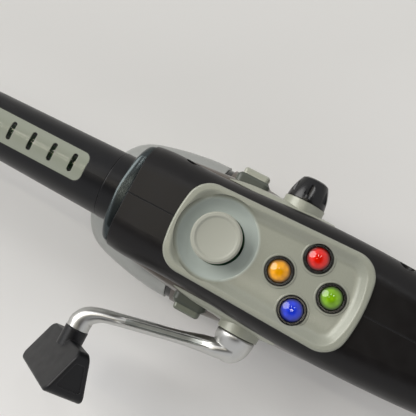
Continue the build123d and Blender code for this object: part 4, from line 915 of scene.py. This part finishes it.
def smooth_through(values: np.ndarray, count: int) -> np.ndarray:
    """Smooth curve through rows of values.

    Between two rows the curve is the cubic whose slopes at both ends are half the step
    between their neighbours.

    Args:
        values: Array of shape rows x columns.
        count: Number of samples.

    Returns:
        Array of shape samples x columns.
    """
    slope = np.gradient(values, axis=0)
    at = np.linspace(0.0, len(values) - 1.0, count)
    low = np.minimum(at.astype(int), len(values) - 2)
    t = (at - low)[:, None]
    return ((2 * t ** 3 - 3 * t ** 2 + 1) * values[low] + (t ** 3 - 2 * t ** 2 + t) * slope[low]
            + (3 * t ** 2 - 2 * t ** 3) * values[low + 1] + (t ** 3 - t ** 2) * slope[low + 1])


def step(values: np.ndarray) -> np.ndarray:
    """Soft step from 0 to 1: three times the square less twice the cube."""
    held = np.clip(values, 0.0, 1.0)
    return held ** 2 * (3.0 - 2.0 * held)


@dataclass
class Crank(Assembly):
    """Axle through the body, arm, paddle, screw cap and the gears that read the turn.

    Args:
        hub_radius_mm: Radius of the elbow over the axle.
        hub_foot_mm: Foot of the elbow, in Y.
        hub_wall_mm: Height of its straight wall.
        hub_edge_mm: Bevel at its foot.
        hub_top_mm: Top of its dome, in Y.
        hub_flat: Size of its dome along Z, as a share of that along X.
        hub_soft_mm: Height over which it flattens.
        stations: Path of the bar: X from the axle, Y, heading from Y in degrees, width, height.
        channel_mm: Middle of the channel in X from the axle and in Y, its length and width.
        channel_lean_deg: Angle from X to the channel's length.
        channel_steps_mm: Widths of the soft steps at its sides and at its ends.
        channel_floor_mm: Height of its floor over the bar's middle.
        bar_grid: Sections of the bar and points round each.
        dome_grid: Rings of the dome and points round each.
    """

    wears = {
        "crank_axle": "steel", "left_bush": "brass", "right_bush": "brass", "crank_arm": "crank_metal",
        "paddle_pin": "steel", "paddle": "paddle_black", "screw_cap": "cap_black",
        "drive_gear": "gear_plastic", "sensor_gear": "gear_plastic",
    }
    hub_radius_mm: float = 7.75
    hub_foot_mm: float = 28.7
    hub_wall_mm: float = 1.0
    hub_edge_mm: float = 0.3
    hub_top_mm: float = 40.0
    hub_flat: float = 0.82
    hub_soft_mm: float = 6.0
    stations: tuple[tuple[float, ...], ...] = (
        (-2.0, 34.2, 74.0, 8.4, 11.0), (4.5, 36.6, 74.0, 7.5, 11.8), (10.5, 37.7, 77.0, 6.6, 11.6),
        (20.0, 40.0, 77.0, 5.2, 11.2), (31.0, 42.5, 77.0, 5.2, 10.6), (44.0, 45.5, 77.0, 5.2, 9.9),
        (50.0, 47.1, 70.0, 5.7, 9.5), (54.3, 49.5, 45.0, 7.4, 9.2), (56.2, 52.6, 10.0, 9.1, 9.1),
        (56.4, 56.0, 0.0, 9.1, 9.1),
    )
    channel_mm: tuple[float, ...] = (25.0, 40.6, 44.0, 2.2)
    channel_lean_deg: float = 13.0
    channel_steps_mm: Pair = (0.8, 13.0)
    channel_floor_mm: float = 3.0
    bar_grid: tuple[int, int] = (241, 160)
    dome_grid: tuple[int, int] = (40, 128)

    def pieces(self) -> None:
        """Adds the arm as one polished casting: a domed elbow and a bar swept along its bend.

        The bar's section is an ellipse carried along a smooth curve through the stations,
        square to the heading they give. Its top sinks into a channel by the product of two
        soft steps, one across the bar and one along it. The elbow is a profile turned about
        the axle, flattened along Z by a soft step of its height.
        """
        arm = Surface("polished_crank_arm")
        path = smooth_through(np.array(self.stations), self.bar_grid[0])
        turn = np.radians(path[:, 2])[:, None]
        angle = turn_of(self.bar_grid[1])[None]
        side = path[:, 3:4] / 2 * np.cos(angle)
        rise = path[:, 4:5] / 2 * np.sin(angle)
        x = path[:, 0:1] + side * np.cos(turn)
        y = path[:, 1:2] - side * np.sin(turn)
        mid_x, mid_y, length, width = self.channel_mm
        from_x = x - mid_x
        from_y = y - mid_y
        lean = math.radians(self.channel_lean_deg)
        way = np.abs(from_x * math.cos(lean) + from_y * math.sin(lean))
        off = np.abs(from_y * math.cos(lean) - from_x * math.sin(lean))
        at_side, at_end = self.channel_steps_mm
        across = step((width / 2 + at_side / 2 - off) / at_side)
        sink = across * step((length / 2 - way) / at_end) * (rise > 0)
        rise = rise - sink * np.maximum(0.0, rise - self.channel_floor_mm)
        bar = np.stack([X_AXLE + x, y, Z_AXLE + rise], -1)
        arm.add_rings(bar[:, ::-1] * MM, sunk=sink[:, ::-1])

        climb = np.linspace(0.0, math.pi / 2, self.dome_grid[0])[:, None]
        wall_y = self.hub_foot_mm + self.hub_wall_mm
        dome_y = wall_y + (self.hub_top_mm - wall_y) * np.sin(climb)
        dome_r = self.hub_radius_mm * np.maximum(np.cos(climb), 0.002)
        foot_y = np.array([[self.hub_foot_mm], [self.hub_foot_mm + self.hub_edge_mm]])
        foot_r = np.array([[self.hub_radius_mm - self.hub_edge_mm], [self.hub_radius_mm]])
        ring_y = np.concatenate([foot_y, dome_y])
        ring_r = np.concatenate([foot_r, dome_r])
        flat = 1.0 - (1.0 - self.hub_flat) * step((ring_y - wall_y) / self.hub_soft_mm)
        around = turn_of(self.dome_grid[1])[None]
        dome = np.stack([X_AXLE + ring_r * np.cos(around), ring_y + 0.0 * around,
                         Z_AXLE + ring_r * flat * np.sin(around)], -1)
        arm.add_rings(dome[:, ::-1] * MM)
        # The channel's faces take a darker copy of the arm's metal: painted shade in the recess.
        piece = arm.build(self.shop.get("crank_metal"), second=self.shop.get("channel_shaded_metal"))
        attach(piece, "crank")
        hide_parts("crank_arm")
        LOG.info("%s: %s", piece.name, FINISHES["crank_metal"].name)


@dataclass
class Electronics(Assembly):
    """Main board and turn sensor."""

    wears = {"main_board": "board_green", "turn_sensor": "button_black"}


@dataclass(frozen=True)
class PhotoCamera:
    """Camera fitted to the photograph.

    Args:
        place_mm: Lens centre in the part's frame.
        right: Direction of the picture's right side.
        down: Direction of the picture's lower side.
        ahead: Viewing direction.
        focal_px: Focal length in pixels of the picture.
        sensor_mm: Side of the sensor.
    """

    place_mm: Triple = (157.9505, 7.71041, 298.52868)
    right: Triple = (-0.87619, -0.46799, -0.11524)
    down: Triple = (-0.45497, 0.88202, -0.12264)
    ahead: Triple = (0.15904, -0.05503, -0.98574)
    focal_px: float = 800.0
    sensor_mm: float = 36.0

    def build(self) -> None:
        """Makes the camera and sets it as the scene's camera."""
        data = bpy.data.cameras.new("photo_camera")
        data.sensor_width = data.sensor_height = self.sensor_mm
        data.sensor_fit = "HORIZONTAL"
        data.lens = self.sensor_mm * self.focal_px / PHOTO_SIZE
        data.clip_start = 0.01
        data.clip_end = 20.0
        camera = bpy.data.objects.new("photo_camera", data)
        axes = (Vector(self.right), -Vector(self.down), -Vector(self.ahead))
        turn = Matrix([[axis[row] for axis in axes] for row in range(3)])
        camera.matrix_world = Matrix.Translation(Vector(self.place_mm) * MM) @ turn.to_4x4()
        bpy.context.scene.collection.objects.link(camera)
        bpy.context.scene.camera = camera


@dataclass(frozen=True)
class Lamp:
    """Soft lamp that looks at the middle of the body.

    Args:
        name: What it stands for.
        way: Direction from the body to the lamp.
        distance: Distance in metres.
        size: Sides in metres, along the rod and across it.
        power: Watts.
        colour: Linear tint.
    """

    name: str
    way: Triple
    distance: float
    size: Pair
    power: float
    colour: Triple

    def build(self) -> None:
        """Makes the lamp, its first side along the rod."""
        data = bpy.data.lights.new(self.name, "AREA")
        data.shape = "RECTANGLE"
        data.size, data.size_y = self.size
        data.energy = self.power
        data.color = self.colour
        lamp = bpy.data.objects.new(self.name, data)
        back = Vector(self.way).normalized()
        along = (Vector((1.0, 0.0, 0.0)) - back * back.x).normalized()
        turn = Matrix((along, back.cross(along), back)).transposed()
        place = Vector(MIDDLE_M) + back * self.distance
        lamp.matrix_world = Matrix.Translation(place) @ turn.to_4x4()
        bpy.context.scene.collection.objects.link(lamp)


@dataclass(frozen=True)
class Daylight:
    """Soft light from one side that is as strong far off as it is near the part.

    Args:
        way: Direction from the part to the light.
        strength: Light on a surface that faces it, in watts per square metre.
        spread_deg: Angle that the bright patch of sky takes up.
        colour: Linear tint.
    """

    way: Triple = (0.80, -0.20, 0.60)
    strength: float = 2.1
    spread_deg: float = 44.0
    colour: Triple = (1.0, 0.99, 0.975)

    def build(self) -> None:
        """Makes the light."""
        data = bpy.data.lights.new("soft_daylight", "SUN")
        data.energy = self.strength
        data.angle = math.radians(self.spread_deg)
        data.color = self.colour
        light = bpy.data.objects.new("soft_daylight", data)
        light.rotation_euler = (-Vector(self.way)).to_track_quat("-Z", "Y").to_euler()
        bpy.context.scene.collection.objects.link(light)


@dataclass(frozen=True)
class Studio:
    """Plain pale floor and soft light.

    Args:
        floor_z: Lowest point of the part, in metres.
        floor_half: Half the floor's side, in metres.
        floor_gap: How far the floor lies under the part, in metres.
        daylight: Even light from one side.
        lamps: Lamps above the part.
    """

    floor_z: float
    floor_half: float = 3.0
    floor_gap: float = 0.2 * MM
    daylight: Daylight = Daylight()
    lamps: tuple[Lamp, ...] = (
        Lamp("tube_light_near", (0.30, 0.01, 0.95), 1.2, (1.0, 0.014), 0.8, (1.0, 0.92, 0.76)),
        Lamp("tube_light_far", (0.30, -0.13, 0.94), 1.2, (1.0, 0.014), 0.8, (1.0, 0.94, 0.82)),
        Lamp("window_left", (0.21, -0.41, 0.88), 1.2, (0.07, 0.20), 0.62, (1.0, 0.99, 0.97)),
        Lamp("window_right", (-0.14, -0.44, 0.88), 1.2, (0.07, 0.20), 0.62, (0.97, 0.99, 1.0)),
    )

    def build(self) -> None:
        """Makes the floor, the lamps and the surroundings."""
        self._floor()
        self.daylight.build()
        for lamp in self.lamps:
            lamp.build()
        self._surroundings()
        bpy.context.scene.view_settings.view_transform = "Standard"

    def _floor(self) -> None:
        """Makes the floor: paper painted paler from the tube's far side to the crank's, a painted falloff
        of the light.
        """
        mesh = bpy.data.meshes.new("floor")
        half = self.floor_half
        z = self.floor_z - self.floor_gap
        corners = [(-half, -half, z), (half, -half, z), (half, half, z), (-half, half, z)]
        mesh.from_pydata(corners, [], [(0, 1, 2, 3)])
        material = bpy.data.materials.new("pale grey studio paper")
        material.use_nodes = True
        tree = material.node_tree
        shader = tree.nodes["Principled BSDF"]
        shader.inputs["Roughness"].default_value = 0.8
        where = add_node(tree, "ShaderNodeTexCoord")
        across = add_node(tree, "ShaderNodeVectorMath", {"operation": "DOT_PRODUCT", 1: (-0.6, 0.8, 0.0)},
                          {0: where.outputs["Object"]})
        # Painted light: the paper's colour grows paler across the floor, standing for the light falling
        # off.
        painted_falloff = add_node(tree, "ShaderNodeMapRange", {"From Min": -0.20, "From Max": 0.0},
                        {"Value": across.outputs["Value"]})
        paper = add_node(tree, "ShaderNodeMix",
                         {"data_type": "RGBA", "A": linear("#d2d1ce"), "B": linear("#e9e8e6")},
                         {"Factor": painted_falloff.outputs["Result"]})
        tree.links.new(paper.outputs["Result"], shader.inputs["Base Color"])
        mesh.materials.append(material)
        floor = bpy.data.objects.new("floor", mesh)
        bpy.context.scene.collection.objects.link(floor)
        floor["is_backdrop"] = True

    @staticmethod
    def _surroundings() -> None:
        """Makes the room: pale walls and a dark ceiling, which keeps black tops black.

        The walls start as grey as the far floor, so that no hard line shows between them.
        """
        world = bpy.data.worlds.new("soft grey room")
        world.use_nodes = True
        tree = world.node_tree
        background = tree.nodes["Background"]
        where = add_node(tree, "ShaderNodeTexCoord")
        split = add_node(tree, "ShaderNodeSeparateXYZ", None, {"Vector": where.outputs["Generated"]})
        height, foot = (
            add_node(tree, "ShaderNodeMapRange",
                     {"interpolation_type": "SMOOTHSTEP", "From Min": low, "From Max": high},
                     {"Value": split.outputs["Z"]})
            for low, high in ((0.70, 0.93), (0.0, 0.30))
        )
        wall = add_node(tree, "ShaderNodeMix",
                        {"data_type": "RGBA", "A": linear("#dcdcda"), "B": linear("#e6e6e8")},
                        {"Factor": foot.outputs["Result"]})
        room = add_node(tree, "ShaderNodeMix", {"data_type": "RGBA", "B": linear("#26272a")},
                        {"Factor": height.outputs["Result"], "A": wall.outputs["Result"]})
        tree.links.new(room.outputs["Result"], background.inputs["Color"])
        background.inputs["Strength"].default_value = 0.95
        bpy.context.scene.world = world


def main() -> None:
    """Builds the dressed controller and its studio."""
    logging.basicConfig(level=logging.INFO)
    cad_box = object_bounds()
    shop = MaterialShop()
    for kind in (Grip, FacePlate, Thumbstick, Flanks, Rod, Reel, Crank, Electronics):
        kind(shop, frame["nodes"]).build()
    Studio(floor_z=cad_box[0][2]).build()
    PhotoCamera().build()


if __name__ == "__main__":
    main()
